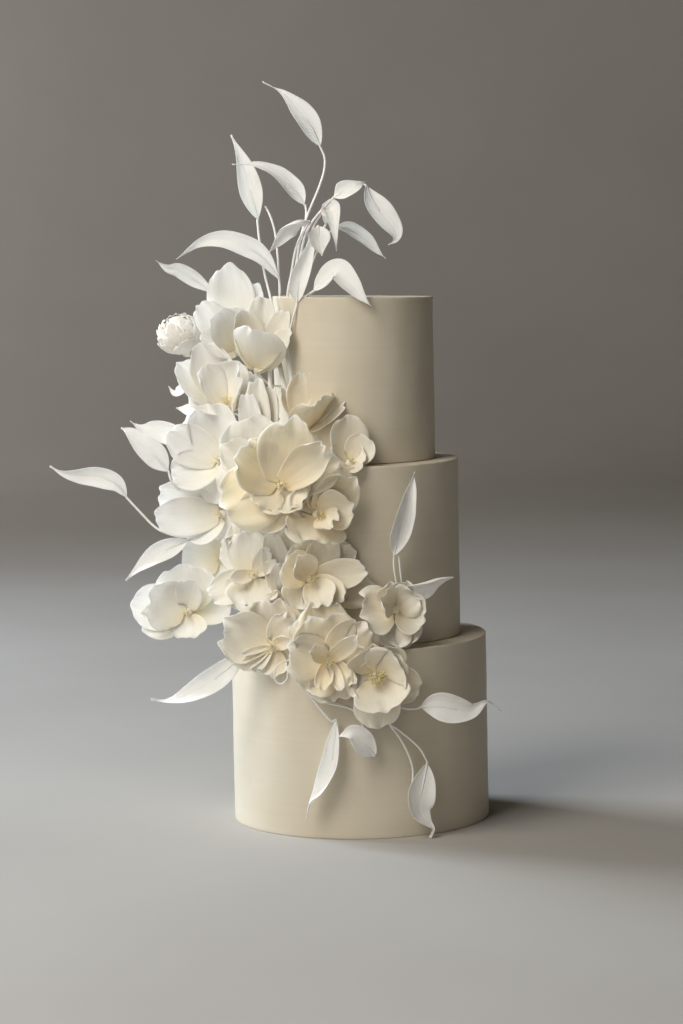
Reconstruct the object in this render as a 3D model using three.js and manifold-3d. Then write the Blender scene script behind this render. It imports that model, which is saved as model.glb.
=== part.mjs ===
// Three-tier wedding cake in smooth ivory icing, with a cascade of white sugar
// flowers, leaves and wired stems down its left front corner.
// Millimetres, +Z up. The origin is the centre of the underside of the bottom tier;
// -Y is the decorated front. Every piece is one closed solid.
import * as THREE from 'three';
import { mergeVertices } from 'three/addons/utils/BufferGeometryUtils.js';
import Module from 'manifold-3d';

const wasm = await Module();
wasm.setup();
const { Manifold, Mesh: SolidMesh } = wasm;

// ---- driving dimensions ----
const TIER_RADIUS = [131, 104.5, 81.5]; // bottom, middle, top, over the icing
const TIER_TOP = [187.5, 367, 532]; // height of each tier's top face at the middle
const TOP_SLOPE = [-0.0206, -0.0129]; // the top tier's top face falls a little to the right and back
const TIER_SIDES = 40;
const RIM = 1.2; // soft edge of the icing at each rim
const GAP = 0.3; // clearance between neighbouring pieces
const SLACK = 0.5; // facets flatter than this are merged before a piece is cut
const TRIM = 0.3; // and after it
const CLEAR = 0.8; // how far a piece pushes its later neighbours back
const PETAL_HALF = 0.75; // half thickness in the middle of a petal
const LEAF_HALF = 0.7; // half thickness along a leaf's midrib
const STEM_RADIUS = 1.15;
const CALYX = 4.6; // radius of the cup that holds the petals
const PETAL_BASE = 1.5; // where a petal starts, from the flower's axis
const PETAL_CAP = 0.44; // share of a petal's length that its round end takes
const PETAL_CLAW = 0.3; // width of its foot, as a share of its full width
const PETAL_STEP = 0.6; // petals are stacked from the flattest up, this far apart
const LARGE_PETAL = 60; // petals longer than this get three facets along them, others two
const LEAF_CELLS = [6, 2]; // facets along and across a leaf
const LEAF_TAPER = 1.35; // how soon a leaf narrows to its tip, unless its row says
// the rosette's petals wrap a ball: count, share of its radius, length over the radius,
// rise at the foot and at the tip
const BUD_LAYERS = [[5, 1, 1.5, -8, 82], [4, 0.86, 1.9, -4, 108], [3, 0.7, 2.3, 0, 136]];

// ---- placement tables ----
// flower: name, centre, [facing turn, facing rise], petals as
// [angle, length, width, rise at the base, rise at the tip, cup]
// leaf: name, midrib from base to tip, width, blade normal, [twist at base, at tip],
// cup, wave, stem from the leaf's base to its root, how soon it narrows
// wire: name, path, radius
// bud: centre, facing, radius
const FLOWERS = [
  ["flower_01", [-116.5, -24, 480.7], [-12, 34], [[74, 70, 34, 18, 38, 0.6], [98, 87, 52, 26, 44, 0.6], [139, 62, 38, 26, 54, 0.7], [-179, 43, 38, 27, 55, 0.7], [79, 48, 34, 44, 68, 0.75], [130, 54, 40, 56, 84, 0.75]]],
  ["flower_02", [-96.3, -52, 463.6], [8, 52], [[82, 74, 34, 38, 58, 0.7], [47, 65, 28, 40, 60, 0.8], [17, 52, 32, 41, 65, 0.85], [117, 61, 38, 44, 66, 0.75], [-120, 60, 60, 70, 90, 0.75]]],
  ["flower_03", [-127.4, -42, 425.6], [-14, 46], [[50, 43, 36, 14, 32, 0.7], [-161, 43, 38, 20, 46, 0.7], [158, 67, 46, 27, 53, 0.7], [83, 47, 44, 32, 54, 0.7], [123, 69, 48, 33, 55, 0.65], [147, 51, 36, 52, 78, 0.8], [28, 52, 56, 56, 78, 1]]],
  ["flower_04", [-136.3, -54, 371.4], [-18, 10], [[-42, 25, 34, -36, -16, 0.7], [-98, 42, 46, -15, 5, 0.6], [55, 32, 38, -8, 17, 0.65], [99, 59, 54, 7, 31, 0.55], [-157, 51, 44, 10, 34, 0.6], [152, 58, 44, 13, 35, 0.6]]],
  ["flower_05", [-74.9, -128, 351.6], [2, 10], [[-127, 47, 54, -15, 0, 0.5], [-160, 60, 70, -10, 14, 0.45], [19, 60, 42, -2, 20, 0.6], [-85, 26, 52, 1, 31, 0.5], [140, 58, 56, 8, 42, 0.55], [78, 71, 62, 15, 45, 0.45], [37, 77, 40, 25, 67, 0.8]]],
  ["flower_06", [-97.8, -88, 364.4], [-12, 14], [[-144, 43, 58, -8, 6, 0.55], [82, 84, 28, -1, 17, 0.8], [90, 90, 30, 6, 21, 0.8], [102, 53, 64, 8, 36, 0.55], [147, 43, 40, 19, 44, 0.65]]],
  ["flower_07", [-48.5, -74, 405.1], [14, 54], [[127, 47, 38, 31, 51, 0.8], [37, 49, 28, 35, 55, 0.8], [88, 55, 44, 36, 56, 0.6], [-68, 47, 58, 70, 82, 0.75]]],
  ["flower_08", [-40.3, -122, 322.8], [20, 4], [[-172, 35, 52, -21, 3, 0.55], [122, 36, 46, -10, 20, 0.65], [64, 33, 42, -5, 23, 0.6], [-110, 30, 68, 9, 37, 0.5], [45, 51, 46, 11, 37, 0.6], [15, 38, 44, 26, 58, 0.6]]],
  ["flower_09", [-47.5, -118, 258.3], [10, 4], [[-17, 69, 44, -4, 10, 0.55], [-109, 31, 52, -9, 16, 0.5], [100, 39, 46, -5, 25, 0.6], [47, 51, 50, -1, 23, 0.55], [147, 33, 44, -3, 31, 0.65], [11, 61, 56, 7, 33, 0.5], [-46, 36, 38, 19, 49, 0.65], [120, 33, 34, 12, 60, 0.85]]],
  ["flower_10", [-104.2, -84, 259.4], [-4, 12], [[-154, 48, 36, -9, 9, 0.65], [-37, 28, 38, -10, 20, 0.65], [99, 44, 48, 3, 31, 0.55], [-95, 36, 54, 4, 40, 0.6], [58, 35, 28, 8, 42, 0.8], [-173, 26, 36, 15, 45, 0.7]]],
  ["flower_11", [-172.4, -44, 218.5], [-10, 4], [[20, 43, 46, -21, -3, 0.55], [171, 57, 50, -1, 17, 0.55], [-164, 49, 42, -1, 17, 0.6], [91, 48, 64, -1, 23, 0.5], [-90, 26, 44, -1, 27, 0.6], [80, 39, 32, 7, 53, 0.85], [157, 46, 56, 12, 50, 0.65]]],
  ["flower_12", [-137.2, -36, 269.7], [-14, 6], [[-6, 17, 32, -27, -5, 0.7], [76, 25, 30, -8, 12, 0.7], [-114, 23, 36, -4, 14, 0.65], [168, 41, 54, 12, 34, 0.5]]],
  ["flower_13", [-87.4, -108, 191.3], [-6, 2], [[93, 46, 52, -5, 23, 0.55], [-165, 42, 40, -1, 21, 0.6], [-109, 29, 44, 0, 24, 0.6], [52, 36, 36, -3, 29, 0.65], [160, 53, 56, 3, 31, 0.55]]],
  ["flower_14", [-31.5, -146, 180.7], [4, 2], [[128, 49, 44, -12, 13, 0.6], [-77, 40, 54, -6, 14, 0.5], [-132, 37, 46, -8, 16, 0.6], [40, 51, 48, -4, 20, 0.6], [98, 46, 66, -5, 31, 0.45], [165, 42, 52, -1, 33, 0.55], [60, 52, 40, 25, 65, 0.85]]],
  ["flower_15", [14, -150, 165.6], [8, -2], [[-22, 46, 40, -6, 8, 0.6], [-89, 51, 48, -5, 9, 0.5], [179, 26, 54, -1, 37, 0.5], [-128, 31, 48, 2, 36, 0.5], [91, 33, 62, 0, 40, 0.5], [17, 30, 56, 12, 50, 0.5], [-77, 37, 58, 13, 49, 0.45]]],
  ["flower_16", [35.5, -118, 226.9], [18, 14], [[-117, 38, 52, -14, 14, 0.55], [-78, 38, 46, -12, 16, 0.6], [-179, 37, 54, -5, 25, 0.55], [-26, 30, 44, 3, 27, 0.6], [86, 27, 48, 7, 33, 0.55], [32, 24, 40, 11, 35, 0.6], [152, 30, 34, 20, 64, 0.8]]],
  ["flower_17", [-135.7, -48, 317.5], [-26, 0], [[-71, 25, 34, -20, 0, 0.65], [111, 32, 36, -2, 22, 0.65], [158, 67, 42, 15, 33, 0.6], [-144, 42, 38, 15, 35, 0.6], [-178, 67, 42, 24, 42, 0.6]]],
  ["flower_18", [-6.8, -96, 370.2], [14, 34], [[146, 25, 28, 17, 43, 0.75], [91, 47, 44, 22, 52, 0.7], [42, 32, 34, 32, 60, 0.7], [-25, 19, 34, 37, 63, 0.65]]],
  ["flower_19", [-96.3, -62, 271.8], [-8, 10], [[43, 43, 42, -7, 19, 0.6], [73, 56, 52, -4, 22, 0.6], [112, 47, 58, 2, 26, 0.55], [163, 43, 40, 5, 27, 0.6]]],
  ["flower_20", [-74.9, -92, 228.8], [-4, 12], [[86, 85, 36, 0, 22, 0.75], [99, 75, 30, 3, 27, 0.8], [73, 53, 28, 11, 35, 0.9], [94, 46, 26, 13, 41, 0.9], [163, 20, 28, 20, 44, 0.8]]],
];
const LEAVES = [
  ["leaf_01", [[-29.9, -30, 682.9], [-39.5, -32, 703.9], [-52.1, -30, 721], [-65.8, -26, 736.2], [-86.1, -18, 747.9]], 26, [0.1, -1, 0.1], [0, 35], 0.7, 0.05, [[-25.4, -30, 670.9], [-26.5, -31, 657], [-32.8, -33, 639.2], [-43.3, -38, 615.6], [-50.7, -44, 593.9], [-55.1, -50, 572.2], [-59.6, -44, 548.3], [-64.6, -34, 529.7]], 2.4],
  ["leaf_02", [[-93.7, -16, 611.6], [-99.2, -16, 632.7], [-103.8, -14, 654.8], [-110.4, -10, 676], [-119.2, -4, 696.2]], 26, [0, -1, 0], [0, 20], 0.8, 0.04, [[-94.2, -16, 608.6], [-92.2, -17, 585.5], [-88.7, -18, 559.4], [-83.6, -22, 536.3], [-80.3, -28, 522.3], [-77.5, -34, 510.4]], 1.5],
  ["leaf_03", [[-47.1, -34, 625.6], [-57.8, -34, 640.7], [-74.4, -34, 655.9], [-95.2, -32, 665.3], [-118.2, -30, 666.2]], 25, [0.2, -1, 0.3], [0, 50], 0.8, 0.05, [[-45.6, -34, 623.6], [-45, -36, 615.6], [-46.5, -40, 605.7], [-50.8, -45, 589.9]], 2.3],
  ["leaf_04", [[-17.1, -44, 631.9], [-7, -48, 637.6], [5, -50, 642.3], [14.1, -44, 645.7]], 20, [-0.2, -1, 0.5], [0, 20], 0.8, 0.05, [[-18.1, -44, 630.9], [-29.2, -44, 619.8], [-40.5, -46, 605.6], [-47.8, -49, 589.9], [-53.2, -50, 568.2], [-58.2, -44, 546.3], [-62.6, -36, 529.7]]],
  ["leaf_05", [[-73.7, -30, 551.3], [-90.2, -32, 573.6], [-109, -33, 585], [-129.8, -32, 592.4], [-152.1, -28, 588.8], [-176.8, -22, 572.7]], 23, [0.1, -1, 0.4], [10, -35], 0.7, 0.05, [[-73.3, -28, 548.2], [-73, -26, 538.2], [-74.3, -22, 528.1]], 1.2],
  ["leaf_06", [[15.1, -40, 642.7], [20.7, -44, 628.2], [31.4, -46, 613.1], [43.1, -46, 598], [43.9, -46, 588.1], [35.9, -44, 583.3]], 26, [0.3, -1, 0.2], [-10, 20], 0.8, 0.04, [[7.2, -38, 646.4], [-4.8, -38, 641.6], [-18.1, -40, 629], [-30.3, -42, 615.3], [-39.6, -45, 599.6], [-46, -49, 579.9], [-52.4, -48, 558.2], [-59.3, -42, 540.3], [-63.1, -34, 529.2]], 1.9],
  ["leaf_07", [[-25.5, -38, 605.3], [-20.3, -44, 620.1], [-17.6, -52, 607.1], [-15.2, -50, 578.4]], 23, [0, -1, 0.2], [0, 10], 1.2, 0.05, [[-29.7, -37, 597.4], [-35.9, -40, 583.6], [-42.3, -46, 567.9], [-49.5, -48, 552.2], [-56.8, -44, 539.3], [-61.1, -38, 529.3]]],
  ["leaf_08", [[-15.5, -26, 602.1], [-1.5, -24, 598.8], [14.4, -22, 588.5], [25.3, -20, 577.3], [34.3, -18, 569.5]], 19, [0.1, -0.8, 0.7], [0, 30], 0.9, 0.04, [[-21.6, -30, 597.2], [-31.9, -38, 583.5], [-40.3, -46, 565.9], [-48.6, -48, 550.2], [-55.8, -44, 538.3], [-60.1, -38, 528.7]], 1.9],
  ["leaf_09", [[-33.6, -50, 603.5], [-32.8, -54, 593.6], [-32, -56, 583.7], [-30.2, -54, 573.7]], 24, [0.1, -1, 0.1], [0, 15], 0.6, 0.06, [[-35.6, -46, 599.6], [-41.9, -47, 583.8], [-47.3, -50, 564.1], [-52.6, -48, 548.3], [-58.3, -44, 538.3], [-62.1, -36, 529.2]]],
  ["leaf_10", [[-41.4, -56, 607.6], [-52.3, -60, 608.8], [-64.3, -62, 602.1], [-74.6, -58, 588.5], [-84.8, -54, 575.8]], 24, [0, -0.5, -1], [0, 20], 1.3, 0.05, [[-45.5, -52, 601.7], [-51.7, -50, 592], [-57, -50, 578.2], [-61.4, -46, 556.4], [-64.8, -40, 540.4], [-66.1, -34, 529.2]]],
  ["leaf_12", [[-56, -60, 527.8], [-54.7, -62, 542.7], [-49.3, -60, 562.3], [-42, -56, 581.9], [-35.6, -50, 601.5]], 23, [-0.2, -1, 0], [0, 20], 1.2, 0.03, [[-56.5, -60, 524.8], [-59.7, -60, 514.9], [-64.5, -60, 499.1], [-72.8, -62, 483.5], [-86.1, -62, 465.8]]],
  ["leaf_13", [[-38.9, -66, 539.5], [-28.8, -70, 548.3], [-14.8, -76, 558.9], [-1.3, -84, 546], [8.3, -88, 533.2], [16.9, -90, 524.2]], 27, [-0.3, -0.6, 0.8], [0, 30], 0.8, 0.06, [[-42.9, -62, 537], [-46.9, -58, 533.5], [-50, -54, 528.5]]],
  ["leaf_14", [[-140.3, 6, 537.7], [-158.1, 2, 550.3], [-174.8, -4, 560.8], [-186.6, -10, 564.2], [-197.3, -14, 572]], 18, [0, -1, 0.3], [10, -30], 0.8, 0.05, [[-134.4, 8, 531.5], [-118.4, 4, 518.1]]],
  ["leaf_15", [[-231.5, -42, 336], [-241.5, -44, 350.5], [-259.4, -44, 356.9], [-279.6, -42, 358.2], [-295.9, -38, 361.2], [-308.3, -32, 368]], 22, [0, -1, 0.2], [5, -40], 0.6, 0.04, [[-230.5, -42, 334.5], [-218.2, -43, 320.7], [-203.5, -44, 305.3], [-190.6, -44, 298.5], [-174.7, -42, 294.4], [-152.7, -36, 294.4], [-122.6, -28, 299]], 1.7],
  ["leaf_16", [[-188.5, -54, 362.4], [-198.1, -56, 374.8], [-211.8, -56, 388.1], [-224.7, -52, 401.1], [-234.9, -46, 405.9]], 27, [0, -1, 0.1], [0, 25], 0.7, 0.04, [[-187.6, -54, 360.4], [-184.9, -52, 351.1], [-175.4, -44, 342.1], [-153.9, -32, 336.6]]],
  ["leaf_17", [[-160.3, -40, 391.9], [-180.2, -42, 395.5], [-199.2, -42, 400.9], [-214.2, -40, 404.1], [-226.3, -36, 412.1]], 25, [0, -1, 0.2], [-5, 30], 0.7, 0.05, [[-156.4, -38, 390.7], [-142.7, -30, 386.8]]],
  ["leaf_18", [[-152.2, -26, 418], [-166.1, -28, 420.9], [-180.2, -28, 423.7]], 17, [0, -1, 0.2], [0, 10], 0.7, 0.03, [[-148.3, -24, 416.8], [-136.4, -20, 412.2]]],
  ["leaf_19", [[-165.6, -22, 455.4], [-172.8, -24, 442.5], [-181, -24, 438.1], [-187.5, -22, 445.7]], 13, [-0.4, -1, 0.2], [0, 30], 1, 0.03, [[-162.6, -20, 457.2], [-150.8, -14, 450.6]]],
  ["leaf_20", [[-170.4, -50, 292.2], [-186.5, -52, 285.6], [-204.8, -52, 275.9], [-220.4, -48, 264.6], [-234.2, -42, 251.5]], 23, [0.1, -1, 0.3], [-10, 30], 0.8, 0.04, [[-167.4, -48, 292.9], [-154.6, -42, 293], [-138.8, -34, 289.8]]],
  ["leaf_21", [[-115.7, -90, 183.3], [-131.7, -100, 169], [-150.7, -104, 154], [-174.1, -98, 141.5], [-193.5, -90, 135.6], [-209.8, -82, 136.2]], 27, [0, -1, 0.2], [-10, 40], 0.8, 0.05, [[-111.7, -88, 186.9], [-97.7, -82, 191.8]], 1.9],
  ["leaf_22", [[34.6, -112, 279.7], [38.9, -114, 298.7], [45.2, -114, 321.3], [51.5, -112, 342.7], [56.6, -108, 361.5]], 27, [0.2, -1, 0], [0, 20], 1.1, 0.05, [[34.6, -111, 277.6], [34.5, -110, 266.6], [36.3, -108, 254.4], [38, -106, 238.2]]],
  ["leaf_23", [[45.8, -112, 243.8], [59.5, -118, 248.2], [77.2, -122, 256.3], [92.9, -122, 257.9]], 28, [0.1, -0.8, -0.6], [-20, 40], 1.1, 0.03, [[43.9, -110, 241.6], [38, -104, 234]]],
  ["leaf_24", [[57.7, -142, 132.8], [73.3, -144, 133.8], [91.9, -142, 129.1], [108.9, -136, 126.8], [122.2, -128, 134.1], [129.3, -124, 131.3], [137.4, -120, 123.5]], 31, [0, -1, 0.1], [0, -40], 0.6, 0.04, [[55.7, -142, 131.8], [46.8, -144, 131.4], [35.1, -144, 134.6], [23.6, -142, 144.4]], 5],
  ["leaf_25", [[-25.8, -136, 120.6], [-28.2, -138, 98.2], [-31.6, -138, 74.4], [-41.9, -137, 51.5], [-52, -136, 38.5], [-57.2, -134, 22.3]], 22, [-0.3, -1, 0.1], [-8, 60], 1.1, 0.06, [[-30.7, -136, 119.8], [-41.2, -136, 132.4], [-52, -136, 147], [-60.3, -136, 161], [-63.9, -134, 176.7]]],
  ["leaf_26", [[11.8, -140, 84.8], [1.1, -146, 98], [-10.4, -149, 109.6], [-25.2, -144, 105.1]], 26, [0, -1, 0.2], [0, 20], 0.8, 0.05, [[9.1, -137, 94.2], [2.5, -137, 108.8], [-3.1, -137, 123.8], [-13.8, -137, 133], [-35.2, -137, 140.4], [-51.7, -137, 148.6], [-57.4, -136, 157], [-60.1, -134, 170.6]]],
  ["leaf_27", [[63.1, -130, 74.9], [59.8, -132, 58.4], [55.5, -133, 41.7], [55.3, -133, 26.7], [62, -133, 16.5], [67.8, -133, 9.4], [64.7, -134, 0.6]], 31, [0.1, -1, 0.1], [0, -40], 0.7, 0.04, [[62.6, -130, 77.9], [54.4, -134, 92.3], [36.8, -137, 108.6], [27.1, -139, 116.1], [19.4, -140, 128.3]], 2.4],
];
const WIRES = [
  ["stem_05", [[-77.7, -44, 496.8], [-77, -46, 480.9], [-73.4, -54, 459.2], [-67.9, -64, 433.7], [-62.3, -72, 414.2]], 2.6],
  ["stem_06", [[-67.7, -54, 495], [-67, -56, 479.1], [-63.5, -62, 453.4], [-63, -68, 427.9]], 2.2],
  ["stem_07", [[-80.8, -44, 492.9], [-83.1, -48, 477.1], [-84.5, -56, 453.5], [-82.8, -64, 432], [-77.2, -74, 412.6]], 2.2],
  ["stem_01", [[50.3, -131.5, 19.5], [46.6, -131.5, 38.6], [49.1, -132, 66.6], [44.9, -134, 84.5], [36.2, -137, 102.1], [26.1, -139, 116.5], [17.5, -141, 132.5]], 1.1],
  ["stem_02", [[-73.2, -22, 531.1], [-74, -20, 563.1], [-76.5, -18, 595.2], [-80.6, -16, 612.3], [-86, -12, 624.5]], 1.1],
  ["stem_03", [[2.7, -140, 124.7], [-11.8, -138.5, 132.2], [-35.3, -139.5, 138.8], [-50.8, -139, 145.5]], 1],
  ["stem_08", [[-69.8, -122, 179], [-78.7, -126, 176.8], [-84.7, -128, 170.2], [-84.9, -128, 160.3], [-79.1, -128, 156.2], [-73.1, -129, 161.2], [-71.9, -131, 169.4], [-66.9, -132, 173.5], [-62.2, -132, 164.4], [-57.6, -130, 151.1]], 0.9],
  ["stem_04", [[39.6, -110, 278.4], [40.4, -109, 266.4], [42.2, -106, 250.1]], 1],
];
const BUD = [[-176.1, -10, 498.5], [-30, 58], 20.5];

// ---- small maths ----
const rad = (d) => (d * Math.PI) / 180;
const V = (a) => new THREE.Vector3(...a);
const rnd = (seed, k) => {
  const x = Math.sin(seed * 12.9898 + k * 78.233) * 43758.5453;
  return x - Math.floor(x);
};

// A flower's own axes: n is the way it faces, right and up as seen from its front.
function axes(turn, rise) {
  const a = rad(turn), e = rad(rise);
  const n = V([Math.sin(a) * Math.cos(e), -Math.cos(a) * Math.cos(e), Math.sin(e)]);
  const right = V([Math.cos(a), Math.sin(a), 0]);
  return { n, right, up: new THREE.Vector3().crossVectors(n, right) };
}

// Half width of a petal along its length: broad foot, round end.
function petalOutline(u) {
  const body = 1 - PETAL_CAP;
  if (u <= body) return PETAL_CLAW + (1 - PETAL_CLAW) * Math.sin((Math.PI / 2) * Math.max(0, u / body) ** 0.85);
  return Math.sqrt(Math.max(0, 1 - ((u - body) / PETAL_CAP) ** 2));
}

// A petal's middle surface as rows of points, in its own frame: x outward from the
// flower's axis, y across, z along the axis. It rises at angle `base`, turning to
// `tip`, is cupped across its width and gently ruffled towards its margin.
function petalRows(nu, nv, [, length, width, base, tip, cup], seed) {
  const N = 48, rise = [], r = [PETAL_BASE], h = [0];
  for (let i = 0; i <= N; i++) rise.push(rad(base + (tip - base) * (i / N) ** 0.9));
  for (let i = 0; i < N; i++) {
    const e = (rise[i] + rise[i + 1]) / 2;
    r.push(r[i] + (Math.cos(e) * length) / N);
    h.push(h[i] + (Math.sin(e) * length) / N);
  }
  const phase = rnd(seed, 1) * 6.283, phase2 = rnd(seed, 2) * 6.283;
  const ruffle = 0.02, lap = 0.07, waves = 1.7;
  const rows = [];
  for (let i = 0; i <= nu; i++) {
    const s = 1 - (1 - i / nu) ** 1.35, row = [];
    for (let j = 0; j <= nv; j++) {
      const v = (2 * j) / nv - 1;
      const drop = PETAL_CAP * (1 - Math.sqrt(1 - 0.5 * v * v));
      const f = Math.min(N, Math.max(0, (s - drop * s ** 3) * N));
      const k = Math.min(N - 1, Math.floor(f)), t = f - k;
      const mix = (a) => a[k] * (1 - t) + a[k + 1] * t;
      const rr = mix(r), hh = mix(h), e = mix(rise);
      const w = (width / 2) * petalOutline(s - 0.293 * PETAL_CAP * s ** 3);
      const bend = Math.max(1e-3, cup * Math.min(1, 0.3 + 1.6 * s) * (1 - 0.25 * s));
      let d = (w * (1 - Math.cos(bend * v))) / bend;
      const edge = Math.max(Math.abs(v) ** 2.5, s ** 5) * s;
      d += ruffle * width * edge * (Math.sin(waves * Math.PI * (v + 0.5 * s) + phase)
        + 0.5 * Math.sin(3.3 * Math.PI * v + phase2));
      d += lap * width * 0.5 * v * (0.4 + 0.6 * s);
      row.push(V([rr - Math.sin(e) * d, (w * Math.sin(bend * v)) / bend, hh + Math.cos(e) * d]));
    }
    rows.push(row);
  }
  return rows;
}

// Puts petal rows on a flower at the given angle about its axis.
function seat(rows, centre, { n, right, up }, angle) {
  const a = rad(angle);
  const out = right.clone().multiplyScalar(Math.cos(a)).addScaledVector(up, Math.sin(a));
  const side = right.clone().multiplyScalar(-Math.sin(a)).addScaledVector(up, Math.cos(a));
  return rows.map((row) => row.map((p) => centre.clone()
    .addScaledVector(out, p.x).addScaledVector(side, p.y).addScaledVector(n, p.z)));
}

// Smooth curve through points, evaluated by equal steps between them.
function along(points, t) {
  const n = points.length - 1;
  const f = Math.min(1, Math.max(0, t)) * n, k = Math.min(n - 1, Math.floor(f)), x = f - k;
  const p1 = points[k], p2 = points[k + 1];
  const p0 = k > 0 ? points[k - 1] : p1.clone().multiplyScalar(2).sub(p2);
  const p3 = k + 2 <= n ? points[k + 2] : p2.clone().multiplyScalar(2).sub(p1);
  const c = (a, b, g, d) => 0.5 * (2 * b + (-a + g) * x + (2 * a - 5 * b + 4 * g - d) * x * x
    + (-a + 3 * b - 3 * g + d) * x ** 3);
  return V([c(p0.x, p1.x, p2.x, p3.x), c(p0.y, p1.y, p2.y, p3.y), c(p0.z, p1.z, p2.z, p3.z)]);
}

function leafOutline(s, taper) {
  const wide = 0.36 - 0.03 * (taper - LEAF_TAPER);
  if (s <= wide) return Math.max(0, Math.sin((Math.PI / 2) * (s / wide))) ** 0.8;
  return Math.max(0, Math.cos((Math.PI / 2) * ((s - wide) / (1 - wide)))) ** taper;
}

// A leaf's middle surface: pointed blade about a curved midrib, cupped across,
// twisting from base to tip.
function leafRows(nu, nv, [, mid, width, normal, [twist0, twist1], cup, wave, , taper = LEAF_TAPER], seed) {
  const points = mid.map(V), phase = rnd(seed, 1) * 6.283, rows = [];
  for (let i = 0; i <= nu; i++) {
    const s = i / nu, c = along(points, s);
    const T = along(points, s + 0.02).sub(along(points, s - 0.02)).normalize();
    const N = V(normal).addScaledVector(T, -V(normal).dot(T)).normalize();
    const B = new THREE.Vector3().crossVectors(T, N);
    const a = rad(twist0 + (twist1 - twist0) * s);
    const face = N.clone().multiplyScalar(Math.cos(a)).addScaledVector(B, Math.sin(a));
    const side = N.clone().multiplyScalar(-Math.sin(a)).addScaledVector(B, Math.cos(a));
    const w = Math.max(0.5, (width / 2) * leafOutline(s, taper)), bend = Math.max(1e-3, cup);
    const row = [];
    for (let j = 0; j <= nv; j++) {
      const v = (2 * j) / nv - 1;
      const d = (w * (1 - Math.cos(bend * v))) / bend
        + wave * width * v * Math.abs(v) * Math.sin(9 * s + phase);
      row.push(c.clone().addScaledVector(side, (w * Math.sin(bend * v)) / bend).addScaledVector(face, d));
    }
    rows.push(row);
  }
  return rows;
}

// ---- solids ----
function fromGeometry(geometry) {
  const g = geometry.clone();
  for (const name of Object.keys(g.attributes)) if (name !== 'position') g.deleteAttribute(name);
  const m = mergeVertices(g, 1e-4), index = [...m.index.array], tris = [];
  for (let i = 0; i < index.length; i += 3) {
    const [a, b, c] = index.slice(i, i + 3);
    if (a !== b && b !== c && a !== c) tris.push(a, b, c);
  }
  return new Manifold(new SolidMesh({
    numProp: 3, vertProperties: new Float32Array(m.attributes.position.array), triVerts: new Uint32Array(tris),
  }));
}

// A thin closed body about a middle surface. With grow 0 it thins to nothing at
// its margin; with grow it is a slab that clears that body by `grow` all round.
function sheet(rows, half, grow = 0) {
  const nu = rows.length - 1, nv = rows[0].length - 1;
  const at = (i, j) => rows[Math.min(nu, Math.max(0, i))][Math.min(nv, Math.max(0, j))];
  const P = [], id = (i, j, face) => (i * (nv + 1) + j) * 2 + face;
  for (let i = 0; i <= nu; i++) {
    for (let j = 0; j <= nv; j++) {
      const du = at(i + 1, j).clone().sub(at(i - 1, j)), dv = at(i, j + 1).clone().sub(at(i, j - 1));
      const n = new THREE.Vector3().crossVectors(du, dv).normalize();
      const inside = i > 0 && i < nu && j > 0 && j < nv;
      const t = (inside ? half : 0) + grow;
      const c = at(i, j).clone();
      if (grow > 0 && !inside) {
        const o = new THREE.Vector3();
        if (j === 0 || j === nv) o.addScaledVector(dv.clone().normalize(), j === 0 ? -1 : 1);
        if (i === 0 || i === nu) o.addScaledVector(du.clone().normalize(), i === 0 ? -1 : 1);
        c.addScaledVector(o, grow * 1.4);
      }
      for (const sign of [1, -1]) {
        const q = c.clone().addScaledVector(n, sign * t);
        P.push(q.x, q.y, q.z);
      }
    }
  }
  const tris = [];
  const quad = (a, b, c, d) => tris.push(a, b, c, a, c, d);
  for (let i = 0; i < nu; i++) {
    for (let j = 0; j < nv; j++) {
      quad(id(i, j, 0), id(i + 1, j, 0), id(i + 1, j + 1, 0), id(i, j + 1, 0));
      quad(id(i, j, 1), id(i, j + 1, 1), id(i + 1, j + 1, 1), id(i + 1, j, 1));
    }
  }
  if (grow > 0) {
    const rim = [];
    for (let i = 0; i < nu; i++) rim.push([i, 0]);
    for (let j = 0; j < nv; j++) rim.push([nu, j]);
    for (let i = nu; i > 0; i--) rim.push([i, nv]);
    for (let j = nv; j > 0; j--) rim.push([0, j]);
    rim.forEach(([i, j], k) => {
      const [p, q] = rim[(k + 1) % rim.length];
      quad(id(i, j, 0), id(i, j, 1), id(p, q, 1), id(p, q, 0));
    });
  }
  const g = new THREE.BufferGeometry();
  g.setAttribute('position', new THREE.BufferAttribute(new Float32Array(P), 3));
  g.setIndex(tris);
  let solid = fromGeometry(g);
  if (solid.volume() < 0) {
    g.setIndex(tris.map((_, k) => tris[k - (k % 3) + [0, 2, 1][k % 3]]));
    solid = fromGeometry(g);
  }
  return solid;
}

// A round wire along a path.
function wire(points, radius, steps, sides = 4) {
  const shape = new THREE.Shape();
  for (let i = 0; i < sides; i++) {
    const a = (i / sides) * 2 * Math.PI, x = radius * Math.cos(a), y = radius * Math.sin(a);
    if (i) shape.lineTo(x, y); else shape.moveTo(x, y);
  }
  shape.closePath();
  const curve = new THREE.CatmullRomCurve3(points, false, 'centripetal');
  return fromGeometry(new THREE.ExtrudeGeometry(shape, { steps, extrudePath: curve, bevelEnabled: false, curveSegments: 1 }));
}

// The small turned cup that holds a flower's petals, along its axis.
function calyx(centre, n, size, grow = 0) {
  const profile = [[0, -9], [0.7, -6.5], [1, -1.5], [0.75, 1.6], [0, 3]];
  const pts = profile.map(([r, h], i) => new THREE.Vector2(
    i === 0 || i === 4 ? 0 : r * size + grow, h * (size / 4.6) + (i === 0 ? -grow : i === 4 ? grow : 0)));
  const g = new THREE.LatheGeometry(pts, 5);
  const m = new THREE.Matrix4().makeRotationFromQuaternion(
    new THREE.Quaternion().setFromUnitVectors(V([0, 1, 0]), n));
  g.applyMatrix4(m);
  g.translate(centre.x, centre.y, centre.z);
  return fromGeometry(g);
}

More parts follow.
